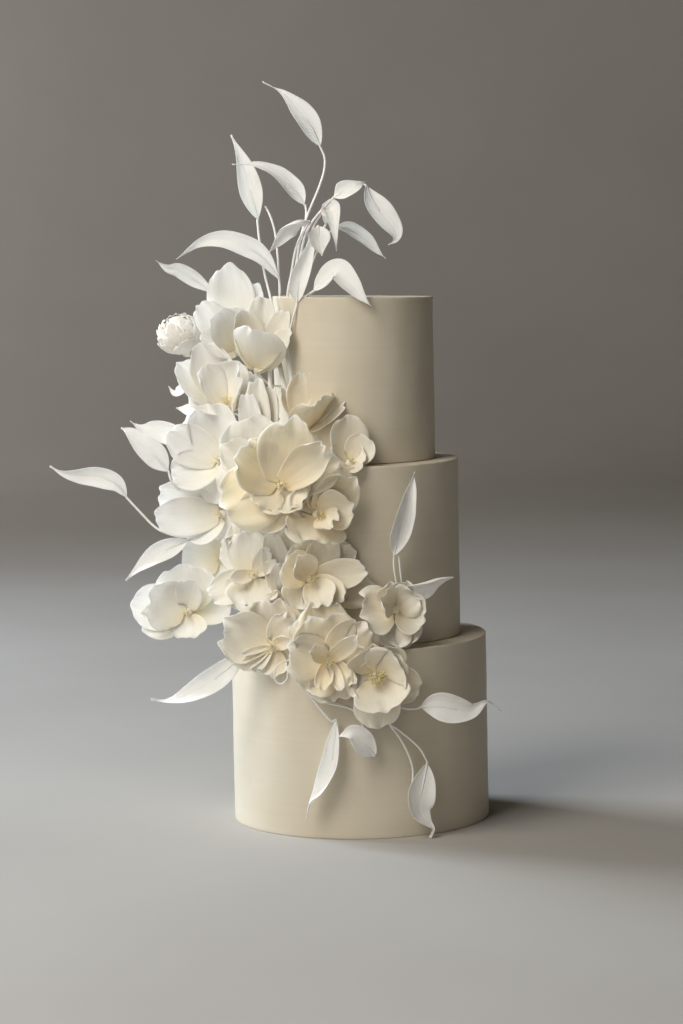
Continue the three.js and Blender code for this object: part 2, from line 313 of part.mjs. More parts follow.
function tier(k, grow = 0) {
  const r = TIER_RADIUS[k] + grow, low = k ? TIER_TOP[k - 1] + GAP : 0, high = TIER_TOP[k];
  const rim = grow ? 0.01 : RIM;
  const profile = [[0, low - grow], [r, low - grow], [r, high + grow - rim], [r - rim, high + grow], [0, high + grow]];
  const g = new THREE.LatheGeometry(profile.map(([x, y]) => new THREE.Vector2(x, y)), TIER_SIDES);
  g.rotateX(Math.PI / 2);
  if (k === 2) {
    const p = g.attributes.position;
    for (let i = 0; i < p.count; i++) {
      const z = p.getZ(i), share = Math.max(0, (z - low) / (high - low));
      p.setZ(i, z + share * (TOP_SLOPE[0] * p.getX(i) + TOP_SLOPE[1] * p.getY(i)));
    }
  }
  return fromGeometry(g);
}

const join = (parts) => Manifold.union(parts);

// Where a flower's own wire enters the cake: the nearest side, a little lower.
function rootOf(centre, n) {
  const back = centre.clone().addScaledVector(n, -8);
  const z = Math.max(12, back.z - 14);
  let k = TIER_TOP.findIndex((t) => z < t);
  if (k < 0) k = 2;
  const a = Math.atan2(back.y, back.x), R = TIER_RADIUS[k] - 4;
  return [back, V([R * Math.cos(a), R * Math.sin(a), z])];
}

function flowerWire(centre, n, grow = 0) {
  const [back, root] = rootOf(centre, n);
  const bend = back.clone().lerp(root, 0.5).addScaledVector(n, -6);
  return wire([centre.clone().addScaledVector(n, -5), back, bend, root], STEM_RADIUS + grow, 2);
}

const cellsFor = ([, length]) => [length > LARGE_PETAL ? 3 : 2, 2];

function flowerParts([, centre, facing, petals], seed, grow = 0) {
  const c = V(centre), ax = axes(...facing);
  const parts = petals.map((p, i) => sheet(seat(petalRows(...cellsFor(p), p, seed * 10 + i + 1),
    c.clone().addScaledVector(ax.n, -PETAL_STEP * (petals.length - 1 - i)), ax, p[0]), PETAL_HALF, grow));
  parts.push(calyx(c, ax.n, CALYX, grow), flowerWire(c, ax.n, grow));
  return parts;
}

function budParts(grow = 0) {
  const [centre, facing, radius] = BUD, ax = axes(...facing);
  const c = V(centre).addScaledVector(ax.n, -0.95 * radius), parts = [];
  let q = 0;
  BUD_LAYERS.forEach(([count, size, reach, low, high], layer) => {
    for (let i = 0; i < count; i++, q++) {
      const r = radius * size, angle = (i * 360) / count + layer * 137;
      const p = [angle, r * reach, r * 1.3, low, high, 0.85];
      parts.push(sheet(seat(petalRows(3, 2, p, 300 + q), c, ax, angle), PETAL_HALF, grow));
    }
  });
  parts.push(calyx(c, ax.n, CALYX * 1.5, grow), flowerWire(c, ax.n, grow));
  return parts;
}

function leafParts(leaf, seed, grow = 0) {
  const mid = leaf[1].map(V), rows = leafRows(...LEAF_CELLS, leaf, seed);
  const path = [along(mid, 0.08), mid[0], ...leaf[7].map(V)];
  return [sheet(rows, LEAF_HALF, grow), wire(path, STEM_RADIUS + grow, Math.max(3, path.length - 1))];
}

// ---- assembly ----
const solids = []; // { name, solid, cutter, box, front }
const boxOf = (s) => s.boundingBox();
const meets = (a, b) => [0, 1, 2].every((i) => a.min[i] < b.max[i] && b.min[i] < a.max[i]);
const biggest = (s) => s.decompose().sort((a, b) => b.volume() - a.volume())[0];

const queue = [
  ...FLOWERS.map((f, i) => ({ name: f[0], front: f[1][1], make: (g) => flowerParts(f, i, g) })),
  { name: 'bud_rosette', front: BUD[0][1], make: (g) => budParts(g) },
  ...LEAVES.map((l, i) => ({ name: l[0], front: l[1][0][1] + 14, make: (g) => leafParts(l, 500 + i, g) })),
  ...WIRES.map((w) => ({ name: w[0], front: 900, make: (g) => [wire(w[1].map(V), w[2] + g, 6)] })),
].sort((a, b) => a.front - b.front);

// True when no two facets share an edge the same way round, however finely or
// coarsely the corners are rounded.
const sound = (solid) => [3, 4].every((places) => soundAt(solid, places));
function soundAt(solid, places) {
  const m = solid.getMesh(), ids = new Map(), seen = new Set();
  const id = (i) => {
    const key = [0, 1, 2].map((k) => m.vertProperties[i * m.numProp + k].toFixed(places)).join();
    if (!ids.has(key)) ids.set(key, ids.size);
    return ids.get(key);
  };
  for (let t = 0; t < m.triVerts.length; t += 3) {
    const [a, b, c] = [0, 1, 2].map((k) => id(m.triVerts[t + k]));
    if (a === b || b === c || a === c) continue;
    for (const edge of [`${a},${b}`, `${b},${c}`, `${c},${a}`]) {
      if (seen.has(edge)) return false;
      seen.add(edge);
    }
  }
  return true;
}

const tiers = [0, 1, 2].map((k) => tier(k));
const cakeCutter = join([0, 1, 2].map((k) => tier(k, GAP)));

// A piece cut clear of the cake and of the pieces already placed: its largest body,
// with flat facets merged as far as that leaves it sound and clear of the others.
function fit(piece, near) {
  const others = [...tiers, ...near.map((s) => s.solid)];
  const whole = join(piece.make(0)).asOriginal();
  for (const slack of [1, 0.8, 0.9, 0.6, 0.4, 0.2]) {
    let solid = whole.simplify(SLACK * slack).subtract(cakeCutter);
    for (const other of near) solid = solid.subtract(other.cutter);
    const body = biggest(solid).asOriginal();
    for (const share of [1, 0.7, 1.4, 0.45, 0.25]) {
      const out = biggest(body.simplify(TRIM * share));
      if (sound(out) && others.every((n) => out.intersect(n).volume() < 0.002)) return out;
    }
  }
  throw new Error(`${piece.name} has no sound form`);
}

for (const piece of queue) {
  const box = boxOf(join(piece.make(0)));
  const solid = fit(piece, solids.filter((s) => meets(box, s.box)));
  const cutter = join(piece.make(CLEAR)).asOriginal().simplify(TRIM);
  solids.push({ name: piece.name, solid, cutter, box: boxOf(cutter) });
}

function geometryOf(solid) {
  const m = solid.getMesh(), g = new THREE.BufferGeometry();
  const P = new Float32Array(m.numVert * 3);
  for (let i = 0; i < m.numVert; i++) for (let k = 0; k < 3; k++) P[i * 3 + k] = m.vertProperties[i * m.numProp + k];
  g.setAttribute('position', new THREE.BufferAttribute(P, 3));
  g.setIndex([...m.triVerts]);
  g.computeVertexNormals();
  return g;
}

const icing = () => new THREE.MeshStandardMaterial({ color: 0xe9e2d3, roughness: 0.5, metalness: 0 });
const sugar = (tone) => new THREE.MeshStandardMaterial({ color: tone, roughness: 0.6, metalness: 0 });

const cake = new THREE.Group();
const add = (name, solid, material) => {
  const mesh = new THREE.Mesh(geometryOf(solid), material);
  mesh.name = name;
  cake.add(mesh);
};
['tier_bottom', 'tier_middle', 'tier_top'].forEach((name, k) => add(name, tiers[k], icing()));
for (const { name, solid } of solids.sort((a, b) => (a.name < b.name ? -1 : 1))) {
  add(name, solid, sugar(name.startsWith('leaf') || name.startsWith('stem') ? 0xf1f0ec : 0xf3eee2));
}

export default cake;
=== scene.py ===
# Three-tier wedding cake in smooth ivory icing with a cascade of white sugar flowers,
# leaves and wired stems down its left front. Tables are in millimetres, in the packed
# model's frame; meshes are made in metres.
import math
import bpy
import numpy as np
from mathutils import Matrix, Vector


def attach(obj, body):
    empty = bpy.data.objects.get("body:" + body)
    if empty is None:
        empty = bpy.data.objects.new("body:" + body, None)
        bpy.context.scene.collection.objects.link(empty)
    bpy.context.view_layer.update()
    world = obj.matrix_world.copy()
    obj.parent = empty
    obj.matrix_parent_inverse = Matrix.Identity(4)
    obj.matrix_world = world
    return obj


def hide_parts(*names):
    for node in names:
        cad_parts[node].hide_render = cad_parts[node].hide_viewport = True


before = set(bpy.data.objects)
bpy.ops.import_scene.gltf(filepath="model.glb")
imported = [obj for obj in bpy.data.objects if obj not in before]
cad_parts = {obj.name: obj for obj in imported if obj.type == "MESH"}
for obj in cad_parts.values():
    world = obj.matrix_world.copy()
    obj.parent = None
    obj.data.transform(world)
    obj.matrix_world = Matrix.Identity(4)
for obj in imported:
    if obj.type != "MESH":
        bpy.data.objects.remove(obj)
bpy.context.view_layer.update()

MM = 0.001
TIER_RADIUS = [131, 104.5, 81.5]
TIER_TOP = [187.5, 367, 532]
TOP_SLOPE = (-0.0206, -0.0129)
GAP = 0.3
STEM_RADIUS = 1.15
CALYX = 4.6
PETAL_BASE = 1.5

FLOWERS = [
  ["flower_01", [-116.5, -24, 480.7], [-12, 34], [[74, 70, 34, 18, 38, 0.6], [98, 87, 52, 26, 44, 0.6], [139, 62, 38, 26, 54, 0.7], [-179, 43, 38, 27, 55, 0.7], [79, 48, 34, 44, 68, 0.75], [130, 54, 40, 56, 84, 0.75]]],
  ["flower_02", [-96.3, -52, 463.6], [8, 52], [[82, 74, 34, 38, 58, 0.7], [47, 65, 28, 40, 60, 0.8], [17, 52, 32, 41, 65, 0.85], [117, 61, 38, 44, 66, 0.75], [-30, 40, 24, 30, 80, 0.9], [-120, 60, 60, 70, 90, 0.75]]],
  ["flower_03", [-127.4, -42, 425.6], [-14, 46], [[50, 43, 36, 14, 32, 0.7], [-161, 43, 38, 20, 46, 0.7], [158, 67, 46, 27, 53, 0.7], [83, 47, 44, 32, 54, 0.7], [123, 69, 48, 33, 55, 0.65], [147, 51, 36, 52, 78, 0.8], [28, 52, 56, 56, 78, 1]]],
  ["flower_04", [-136.3, -54, 371.4], [-18, 10], [[-42, 25, 34, -36, -16, 0.7], [-98, 42, 46, -15, 5, 0.6], [55, 32, 38, -8, 17, 0.65], [121, 56, 44, 4, 24, 0.6], [99, 59, 54, 7, 31, 0.55], [-157, 51, 44, 10, 34, 0.6], [152, 58, 44, 13, 35, 0.6]]],
  ["flower_05", [-74.9, -128, 351.6], [2, 10], [[-127, 47, 54, -15, 0, 0.5], [-160, 60, 70, -10, 14, 0.45], [19, 60, 42, -2, 20, 0.6], [-85, 26, 52, 1, 31, 0.5], [-143, 32, 44, 5, 31, 0.55], [-40, 29, 44, 6, 32, 0.55], [140, 58, 56, 8, 42, 0.55], [78, 71, 62, 15, 45, 0.45], [37, 77, 40, 25, 67, 0.8]]],
  ["flower_06", [-97.8, -88, 364.4], [-12, 14], [[-144, 43, 58, -8, 6, 0.55], [82, 84, 28, -1, 17, 0.8], [90, 90, 30, 6, 21, 0.8], [97, 77, 26, 9, 25, 0.8], [102, 53, 64, 8, 36, 0.55], [147, 43, 40, 19, 44, 0.65]]],
  ["flower_07", [-48.5, -74, 405.1], [14, 54], [[127, 47, 38, 31, 51, 0.8], [-1, 46, 32, 32, 54, 0.85], [37, 49, 28, 35, 55, 0.8], [88, 55, 44, 36, 56, 0.6], [-68, 47, 58, 70, 82, 0.75]]],
  ["flower_08", [-40.3, -122, 322.8], [20, 4], [[-172, 35, 52, -21, 3, 0.55], [122, 36, 46, -10, 20, 0.65], [64, 33, 42, -5, 23, 0.6], [-110, 30, 68, 9, 37, 0.5], [45, 51, 46, 11, 37, 0.6], [15, 38, 44, 26, 58, 0.6], [-45, 28, 32, 47, 89, 0.8]]],
  ["flower_09", [-47.5, -118, 258.3], [10, 4], [[-52, 41, 52, -7, 7, 0.5], [-17, 69, 44, -4, 10, 0.55], [-109, 31, 52, -9, 16, 0.5], [100, 39, 46, -5, 25, 0.6], [47, 51, 50, -1, 23, 0.55], [147, 33, 44, -3, 31, 0.65], [11, 61, 56, 7, 33, 0.5], [-46, 36, 38, 19, 49, 0.65], [120, 33, 34, 12, 60, 0.85]]],
  ["flower_10", [-104.2, -84, 259.4], [-4, 12], [[-131, 39, 36, -16, 2, 0.6], [-154, 48, 36, -9, 9, 0.65], [-37, 28, 38, -10, 20, 0.65], [99, 44, 48, 3, 31, 0.55], [-95, 36, 54, 4, 40, 0.6], [58, 35, 28, 8, 42, 0.8], [-173, 26, 36, 15, 45, 0.7]]],
  ["flower_11", [-172.4, -44, 218.5], [-10, 4], [[20, 43, 46, -21, -3, 0.55], [171, 57, 50, -1, 17, 0.55], [-164, 49, 42, -1, 17, 0.6], [91, 48, 64, -1, 23, 0.5], [-90, 26, 44, -1, 27, 0.6], [80, 39, 32, 7, 53, 0.85], [157, 46, 56, 12, 50, 0.65]]],
  ["flower_12", [-137.2, -36, 269.7], [-14, 6], [[-6, 17, 32, -27, -5, 0.7], [76, 25, 30, -8, 12, 0.7], [-114, 23, 36, -4, 14, 0.65], [168, 41, 54, 12, 34, 0.5]]],
  ["flower_13", [-87.4, -108, 191.3], [-6, 2], [[123, 48, 36, -6, 20, 0.65], [93, 46, 52, -5, 23, 0.55], [-165, 42, 40, -1, 21, 0.6], [-109, 29, 44, 0, 24, 0.6], [52, 36, 36, -3, 29, 0.65], [160, 53, 56, 3, 31, 0.55]]],
  ["flower_14", [-31.5, -146, 180.7], [4, 2], [[97, 57, 56, -13, 3, 0.5], [128, 49, 44, -12, 13, 0.6], [-77, 40, 54, -6, 14, 0.5], [-132, 37, 46, -8, 16, 0.6], [40, 51, 48, -4, 20, 0.6], [98, 46, 66, -5, 31, 0.45], [165, 42, 52, -1, 33, 0.55], [-109, 33, 26, 12, 56, 0.9], [60, 52, 40, 25, 65, 0.85]]],
  ["flower_15", [14, -150, 165.6], [8, -2], [[-22, 46, 40, -6, 8, 0.6], [-89, 51, 48, -5, 9, 0.5], [179, 26, 54, -1, 37, 0.5], [-128, 31, 48, 2, 36, 0.5], [91, 33, 62, 0, 40, 0.5], [55, 33, 50, 8, 48, 0.55], [17, 30, 56, 12, 50, 0.5], [-77, 37, 58, 13, 49, 0.45]]],
  ["flower_16", [35.5, -118, 226.9], [18, 14], [[-117, 38, 52, -14, 14, 0.55], [-78, 38, 46, -12, 16, 0.6], [-179, 37, 54, -5, 25, 0.55], [-26, 30, 44, 3, 27, 0.6], [86, 27, 48, 7, 33, 0.55], [32, 24, 40, 11, 35, 0.6], [152, 30, 34, 20, 64, 0.8]]],
  ["flower_17", [-135.7, -48, 317.5], [-26, 0], [[-71, 25, 34, -20, 0, 0.65], [111, 32, 36, -2, 22, 0.65], [158, 67, 42, 15, 33, 0.6], [-144, 42, 38, 15, 35, 0.6], [-178, 67, 42, 24, 42, 0.6]]],
  ["flower_18", [-6.8, -96, 370.2], [14, 34], [[-147, 14, 36, -18, 0, 0.65], [146, 25, 28, 17, 43, 0.75], [91, 47, 44, 22, 52, 0.7], [42, 32, 34, 32, 60, 0.7], [-25, 19, 34, 37, 63, 0.65]]],
  ["flower_19", [-96.3, -62, 271.8], [-8, 10], [[43, 43, 42, -7, 19, 0.6], [73, 56, 52, -4, 22, 0.6], [112, 47, 58, 2, 26, 0.55], [163, 43, 40, 5, 27, 0.6], [91, 50, 44, 13, 35, 0.6]]],
  ["flower_20", [-74.9, -92, 228.8], [-4, 12], [[86, 85, 36, 0, 22, 0.75], [-76, 35, 34, 6, 22, 0.8], [99, 75, 30, 3, 27, 0.8], [73, 53, 28, 11, 35, 0.9], [94, 46, 26, 13, 41, 0.9], [163, 20, 28, 20, 44, 0.8]]],
]
LEAVES = [
  ["leaf_01", [[-29.9, -30, 682.9], [-39.5, -32, 703.9], [-52.1, -30, 721], [-65.8, -26, 736.2], [-86.1, -18, 747.9]], 26, [0.1, -1, 0.1], [0, 35], 0.7, 0.05, [[-25.4, -30, 670.9], [-26.5, -31, 657], [-32.8, -33, 639.2], [-43.3, -38, 615.6], [-50.7, -44, 593.9], [-55.1, -50, 572.2], [-59.6, -44, 548.3], [-64.6, -34, 529.7]], 2.4],
  ["leaf_02", [[-93.7, -16, 611.6], [-99.2, -16, 632.7], [-103.8, -14, 654.8], [-110.4, -10, 676], [-119.2, -4, 696.2]], 26, [0, -1, 0], [0, 20], 0.8, 0.04, [[-94.2, -16, 608.6], [-92.2, -17, 585.5], [-88.7, -18, 559.4], [-83.6, -22, 536.3], [-80.3, -28, 522.3], [-77.5, -34, 510.4]], 1.5],
  ["leaf_03", [[-47.1, -34, 625.6], [-57.8, -34, 640.7], [-74.4, -34, 655.9], [-95.2, -32, 665.3], [-118.2, -30, 666.2]], 25, [0.2, -1, 0.3], [0, 50], 0.8, 0.05, [[-45.6, -34, 623.6], [-45, -36, 615.6], [-46.5, -40, 605.7], [-50.8, -45, 589.9]], 2.3],
  ["leaf_04", [[-17.1, -44, 631.9], [-7, -48, 637.6], [5, -50, 642.3], [14.1, -44, 645.7]], 20, [-0.2, -1, 0.5], [0, 20], 0.8, 0.05, [[-18.1, -44, 630.9], [-29.2, -44, 619.8], [-40.5, -46, 605.6], [-47.8, -49, 589.9], [-53.2, -50, 568.2], [-58.2, -44, 546.3], [-62.6, -36, 529.7]]],
  ["leaf_05", [[-73.7, -30, 551.3], [-90.2, -32, 573.6], [-109, -33, 585], [-129.8, -32, 592.4], [-152.1, -28, 588.8], [-176.8, -22, 572.7]], 23, [0.1, -1, 0.4], [10, -35], 0.7, 0.05, [[-73.3, -28, 548.2], [-73, -26, 538.2], [-74.3, -22, 528.1]], 1.2],
  ["leaf_06", [[15.1, -40, 642.7], [20.7, -44, 628.2], [31.4, -46, 613.1], [43.1, -46, 598], [43.9, -46, 588.1], [35.9, -44, 583.3]], 26, [0.3, -1, 0.2], [-10, 20], 0.8, 0.04, [[7.2, -38, 646.4], [-4.8, -38, 641.6], [-18.1, -40, 629], [-30.3, -42, 615.3], [-39.6, -45, 599.6], [-46, -49, 579.9], [-52.4, -48, 558.2], [-59.3, -42, 540.3], [-63.1, -34, 529.2]], 1.9],
  ["leaf_07", [[-25.5, -38, 605.3], [-20.3, -44, 620.1], [-17.6, -52, 607.1], [-15.2, -50, 578.4]], 23, [0, -1, 0.2], [0, 10], 1.2, 0.05, [[-29.7, -37, 597.4], [-35.9, -40, 583.6], [-42.3, -46, 567.9], [-49.5, -48, 552.2], [-56.8, -44, 539.3], [-61.1, -38, 529.3]]],
  ["leaf_08", [[-15.5, -26, 602.1], [-1.5, -24, 598.8], [14.4, -22, 588.5], [25.3, -20, 577.3], [34.3, -18, 569.5]], 19, [0.1, -0.8, 0.7], [0, 30], 0.9, 0.04, [[-21.6, -30, 597.2], [-31.9, -38, 583.5], [-40.3, -46, 565.9], [-48.6, -48, 550.2], [-55.8, -44, 538.3], [-60.1, -38, 528.7]], 1.9],
  ["leaf_09", [[-33.6, -50, 603.5], [-32.8, -54, 593.6], [-32, -56, 583.7], [-30.2, -54, 573.7]], 24, [0.1, -1, 0.1], [0, 15], 0.6, 0.06, [[-35.6, -46, 599.6], [-41.9, -47, 583.8], [-47.3, -50, 564.1], [-52.6, -48, 548.3], [-58.3, -44, 538.3], [-62.1, -36, 529.2]]],
  ["leaf_10", [[-41.4, -56, 607.6], [-52.3, -60, 608.8], [-64.3, -62, 602.1], [-74.6, -58, 588.5], [-84.8, -54, 575.8]], 24, [0, -0.5, -1], [0, 20], 1.3, 0.05, [[-45.5, -52, 601.7], [-51.7, -50, 592], [-57, -50, 578.2], [-61.4, -46, 556.4], [-64.8, -40, 540.4], [-66.1, -34, 529.2]]],
  ["leaf_12", [[-56, -60, 527.8], [-54.7, -62, 542.7], [-49.3, -60, 562.3], [-42, -56, 581.9], [-35.6, -50, 601.5]], 23, [-0.2, -1, 0], [0, 20], 1.2, 0.03, [[-56.5, -60, 524.8], [-59.7, -60, 514.9], [-64.5, -60, 499.1], [-72.8, -62, 483.5], [-86.1, -62, 465.8]]],
  ["leaf_13", [[-38.9, -66, 539.5], [-28.8, -70, 548.3], [-14.8, -76, 558.9], [-1.3, -84, 546], [8.3, -88, 533.2], [16.9, -90, 524.2]], 27, [-0.3, -0.6, 0.8], [0, 30], 0.8, 0.06, [[-42.9, -62, 537], [-46.9, -58, 533.5], [-50, -54, 528.5]]],
  ["leaf_14", [[-140.3, 6, 537.7], [-158.1, 2, 550.3], [-174.8, -4, 560.8], [-186.6, -10, 564.2], [-197.3, -14, 572]], 18, [0, -1, 0.3], [10, -30], 0.8, 0.05, [[-134.4, 8, 531.5], [-118.4, 4, 518.1]]],
  ["leaf_15", [[-231.5, -42, 336], [-241.5, -44, 350.5], [-259.4, -44, 356.9], [-279.6, -42, 358.2], [-295.9, -38, 361.2], [-308.3, -32, 368]], 22, [0, -1, 0.2], [5, -40], 0.6, 0.04, [[-230.5, -42, 334.5], [-218.2, -43, 320.7], [-203.5, -44, 305.3], [-190.6, -44, 298.5], [-174.7, -42, 294.4], [-152.7, -36, 294.4], [-122.6, -28, 299]], 1.7],
  ["leaf_16", [[-188.5, -54, 362.4], [-198.1, -56, 374.8], [-211.8, -56, 388.1], [-224.7, -52, 401.1], [-234.9, -46, 405.9]], 27, [0, -1, 0.1], [0, 25], 0.7, 0.04, [[-187.6, -54, 360.4], [-184.9, -52, 351.1], [-175.4, -44, 342.1], [-153.9, -32, 336.6]]],
  ["leaf_17", [[-160.3, -40, 391.9], [-180.2, -42, 395.5], [-199.2, -42, 400.9], [-214.2, -40, 404.1], [-226.3, -36, 412.1]], 25, [0, -1, 0.2], [-5, 30], 0.7, 0.05, [[-156.4, -38, 390.7], [-142.7, -30, 386.8]]],
  ["leaf_18", [[-152.2, -26, 418], [-166.1, -28, 420.9], [-180.2, -28, 423.7]], 17, [0, -1, 0.2], [0, 10], 0.7, 0.03, [[-148.3, -24, 416.8], [-136.4, -20, 412.2]]],
  ["leaf_19", [[-165.6, -22, 455.4], [-172.8, -24, 442.5], [-181, -24, 438.1], [-187.5, -22, 445.7]], 13, [-0.4, -1, 0.2], [0, 30], 1, 0.03, [[-162.6, -20, 457.2], [-150.8, -14, 450.6]]],
  ["leaf_20", [[-170.4, -50, 292.2], [-186.5, -52, 285.6], [-204.8, -52, 275.9], [-220.4, -48, 264.6], [-234.2, -42, 251.5]], 23, [0.1, -1, 0.3], [-10, 30], 0.8, 0.04, [[-167.4, -48, 292.9], [-154.6, -42, 293], [-138.8, -34, 289.8]]],
  ["leaf_21", [[-115.7, -90, 183.3], [-131.7, -100, 169], [-150.7, -104, 154], [-174.1, -98, 141.5], [-193.5, -90, 135.6], [-209.8, -82, 136.2]], 27, [0, -1, 0.2], [-10, 40], 0.8, 0.05, [[-111.7, -88, 186.9], [-97.7, -82, 191.8]], 1.9],
  ["leaf_22", [[34.6, -112, 279.7], [38.9, -114, 298.7], [45.2, -114, 321.3], [51.5, -112, 342.7], [56.6, -108, 361.5]], 27, [0.2, -1, 0], [0, 20], 1.1, 0.05, [[34.6, -111, 277.6], [34.5, -110, 266.6], [36.3, -108, 254.4], [38, -106, 238.2]]],
  ["leaf_23", [[45.8, -112, 243.8], [59.5, -118, 248.2], [77.2, -122, 256.3], [92.9, -122, 257.9]], 28, [0.1, -0.8, -0.6], [-20, 40], 1.1, 0.03, [[43.9, -110, 241.6], [38, -104, 234]]],
  ["leaf_24", [[57.7, -142, 132.8], [73.3, -144, 133.8], [91.9, -142, 129.1], [108.9, -136, 126.8], [122.2, -128, 134.1], [129.3, -124, 131.3], [137.4, -120, 123.5]], 31, [0, -1, 0.1], [0, -40], 0.6, 0.04, [[55.7, -142, 131.8], [46.8, -144, 131.4], [35.1, -144, 134.6], [23.6, -142, 144.4]], 5],
  ["leaf_25", [[-25.8, -136, 120.6], [-28.2, -138, 98.2], [-31.6, -138, 74.4], [-41.9, -137, 51.5], [-52, -136, 38.5], [-57.2, -134, 22.3]], 22, [-0.3, -1, 0.1], [-8, 60], 1.1, 0.06, [[-30.7, -136, 119.8], [-41.2, -136, 132.4], [-52, -136, 147], [-60.3, -136, 161], [-63.9, -134, 176.7]]],
  ["leaf_26", [[11.8, -140, 84.8], [1.1, -146, 98], [-10.4, -149, 109.6], [-25.2, -144, 105.1]], 26, [0, -1, 0.2], [0, 20], 0.8, 0.05, [[9.1, -137, 94.2], [2.5, -137, 108.8], [-3.1, -137, 123.8], [-13.8, -137, 133], [-35.2, -137, 140.4], [-51.7, -137, 148.6], [-57.4, -136, 157], [-60.1, -134, 170.6]]],
  ["leaf_27", [[63.1, -130, 74.9], [59.8, -132, 58.4], [55.5, -133, 41.7], [55.3, -133, 26.7], [62, -133, 16.5], [67.8, -133, 9.4], [64.7, -134, 0.6]], 31, [0.1, -1, 0.1], [0, -40], 0.7, 0.04, [[62.6, -130, 77.9], [54.4, -134, 92.3], [36.8, -137, 108.6], [27.1, -139, 116.1], [19.4, -140, 128.3]], 2.4],
]
WIRES = [
  ["stem_05", [[-77.7, -44, 496.8], [-77, -46, 480.9], [-73.4, -54, 459.2], [-67.9, -64, 433.7], [-62.3, -72, 414.2]], 2.6],
  ["stem_06", [[-67.7, -54, 495], [-67, -56, 479.1], [-63.5, -62, 453.4], [-63, -68, 427.9]], 2.2],
  ["stem_07", [[-80.8, -44, 492.9], [-83.1, -48, 477.1], [-84.5, -56, 453.5], [-82.8, -64, 432], [-77.2, -74, 412.6]], 2.2],
  ["stem_01", [[50.3, -131.5, 19.5], [46.6, -131.5, 38.6], [49.1, -132, 66.6], [44.9, -134, 84.5], [36.2, -137, 102.1], [26.1, -139, 116.5], [17.5, -141, 132.5]], 1.1],
  ["stem_02", [[-73.2, -22, 531.1], [-74, -20, 563.1], [-76.5, -18, 595.2], [-80.6, -16, 612.3], [-86, -12, 624.5]], 1.1],
  ["stem_03", [[2.7, -140, 124.7], [-11.8, -138.5, 132.2], [-35.3, -139.5, 138.8], [-50.8, -139, 145.5]], 1],
  ["stem_08", [[-69.8, -122, 179], [-78.7, -126, 176.8], [-84.7, -128, 170.2], [-84.9, -128, 160.3], [-79.1, -128, 156.2], [-73.1, -129, 161.2], [-71.9, -131, 169.4], [-66.9, -132, 173.5], [-62.2, -132, 164.4], [-57.6, -130, 151.1]], 0.9],
  ["stem_04", [[39.6, -110, 278.4], [40.4, -109, 266.4], [42.2, -106, 250.1]], 1],
]
BUD = [[-176.1, -10, 498.5], [-30, 58], 20.5]


# ---------------------------------------------------------------- small maths
def rnd(seed, k):
    x = math.sin(seed * 12.9898 + k * 78.233) * 43758.5453
    return x - math.floor(x)


def unit(a):
    a = np.asarray(a, float)
    return a / (np.linalg.norm(a) + 1e-12)


def axes(turn, rise):
    a, e = math.radians(turn), math.radians(rise)
    n = np.array([math.sin(a) * math.cos(e), -math.cos(a) * math.cos(e), math.sin(e)])
    right = np.array([math.cos(a), math.sin(a), 0.0])
    return n, right, np.cross(n, right)


def along(points, t):
    """Catmull-Rom through the points, t in 0..1, for an array of t."""
    P = np.asarray(points, float)
    t = np.clip(np.atleast_1d(np.asarray(t, float)), 0, 1)
    n = len(P) - 1
    if n == 1:
        return P[0] * (1 - t[:, None]) + P[1] * t[:, None]
    f = t * n
    k = np.minimum(n - 1, f.astype(int))
    x = (f - k)[:, None]
    ext = np.vstack([2 * P[0] - P[1], P, 2 * P[-1] - P[-2]])
    p0, p1, p2, p3 = ext[k], ext[k + 1], ext[k + 2], ext[k + 3]
    return 0.5 * (2 * p1 + (p2 - p0) * x + (2 * p0 - 5 * p1 + 4 * p2 - p3) * x**2 + (3 * p1 - p0 - 3 * p2 + p3) * x**3)


PETAL_STEP = 0.6  # petals are stacked from the flattest up, this far apart
PETAL_CAP, PETAL_CLAW = 0.44, 0.42  # share of a petal's length that its round end takes; width of its foot


def petal_outline(u):
    """Half width of a petal along its length: broad foot, round end."""
    a = PETAL_CLAW + (1 - PETAL_CLAW) * np.sin(np.pi / 2 * np.clip(u / (1 - PETAL_CAP), 0, 1) ** 0.85)
    q = np.clip((u - 1 + PETAL_CAP) / PETAL_CAP, 0, 1)
    return np.where(u <= 1 - PETAL_CAP, a, np.sqrt(np.maximum(0, 1 - q * q)))


def steps_to(n, size, both):
    """Even steps with one more just inside the margin, 0.3 mm from it."""
    ring = min(0.3 / size, 0.4 / n)
    if both:
        return np.concatenate([[-1], np.linspace(-1 + ring, 1 - ring, n - 1), [1]])
    return np.concatenate([np.linspace(0, 1 - ring, n), [1]])


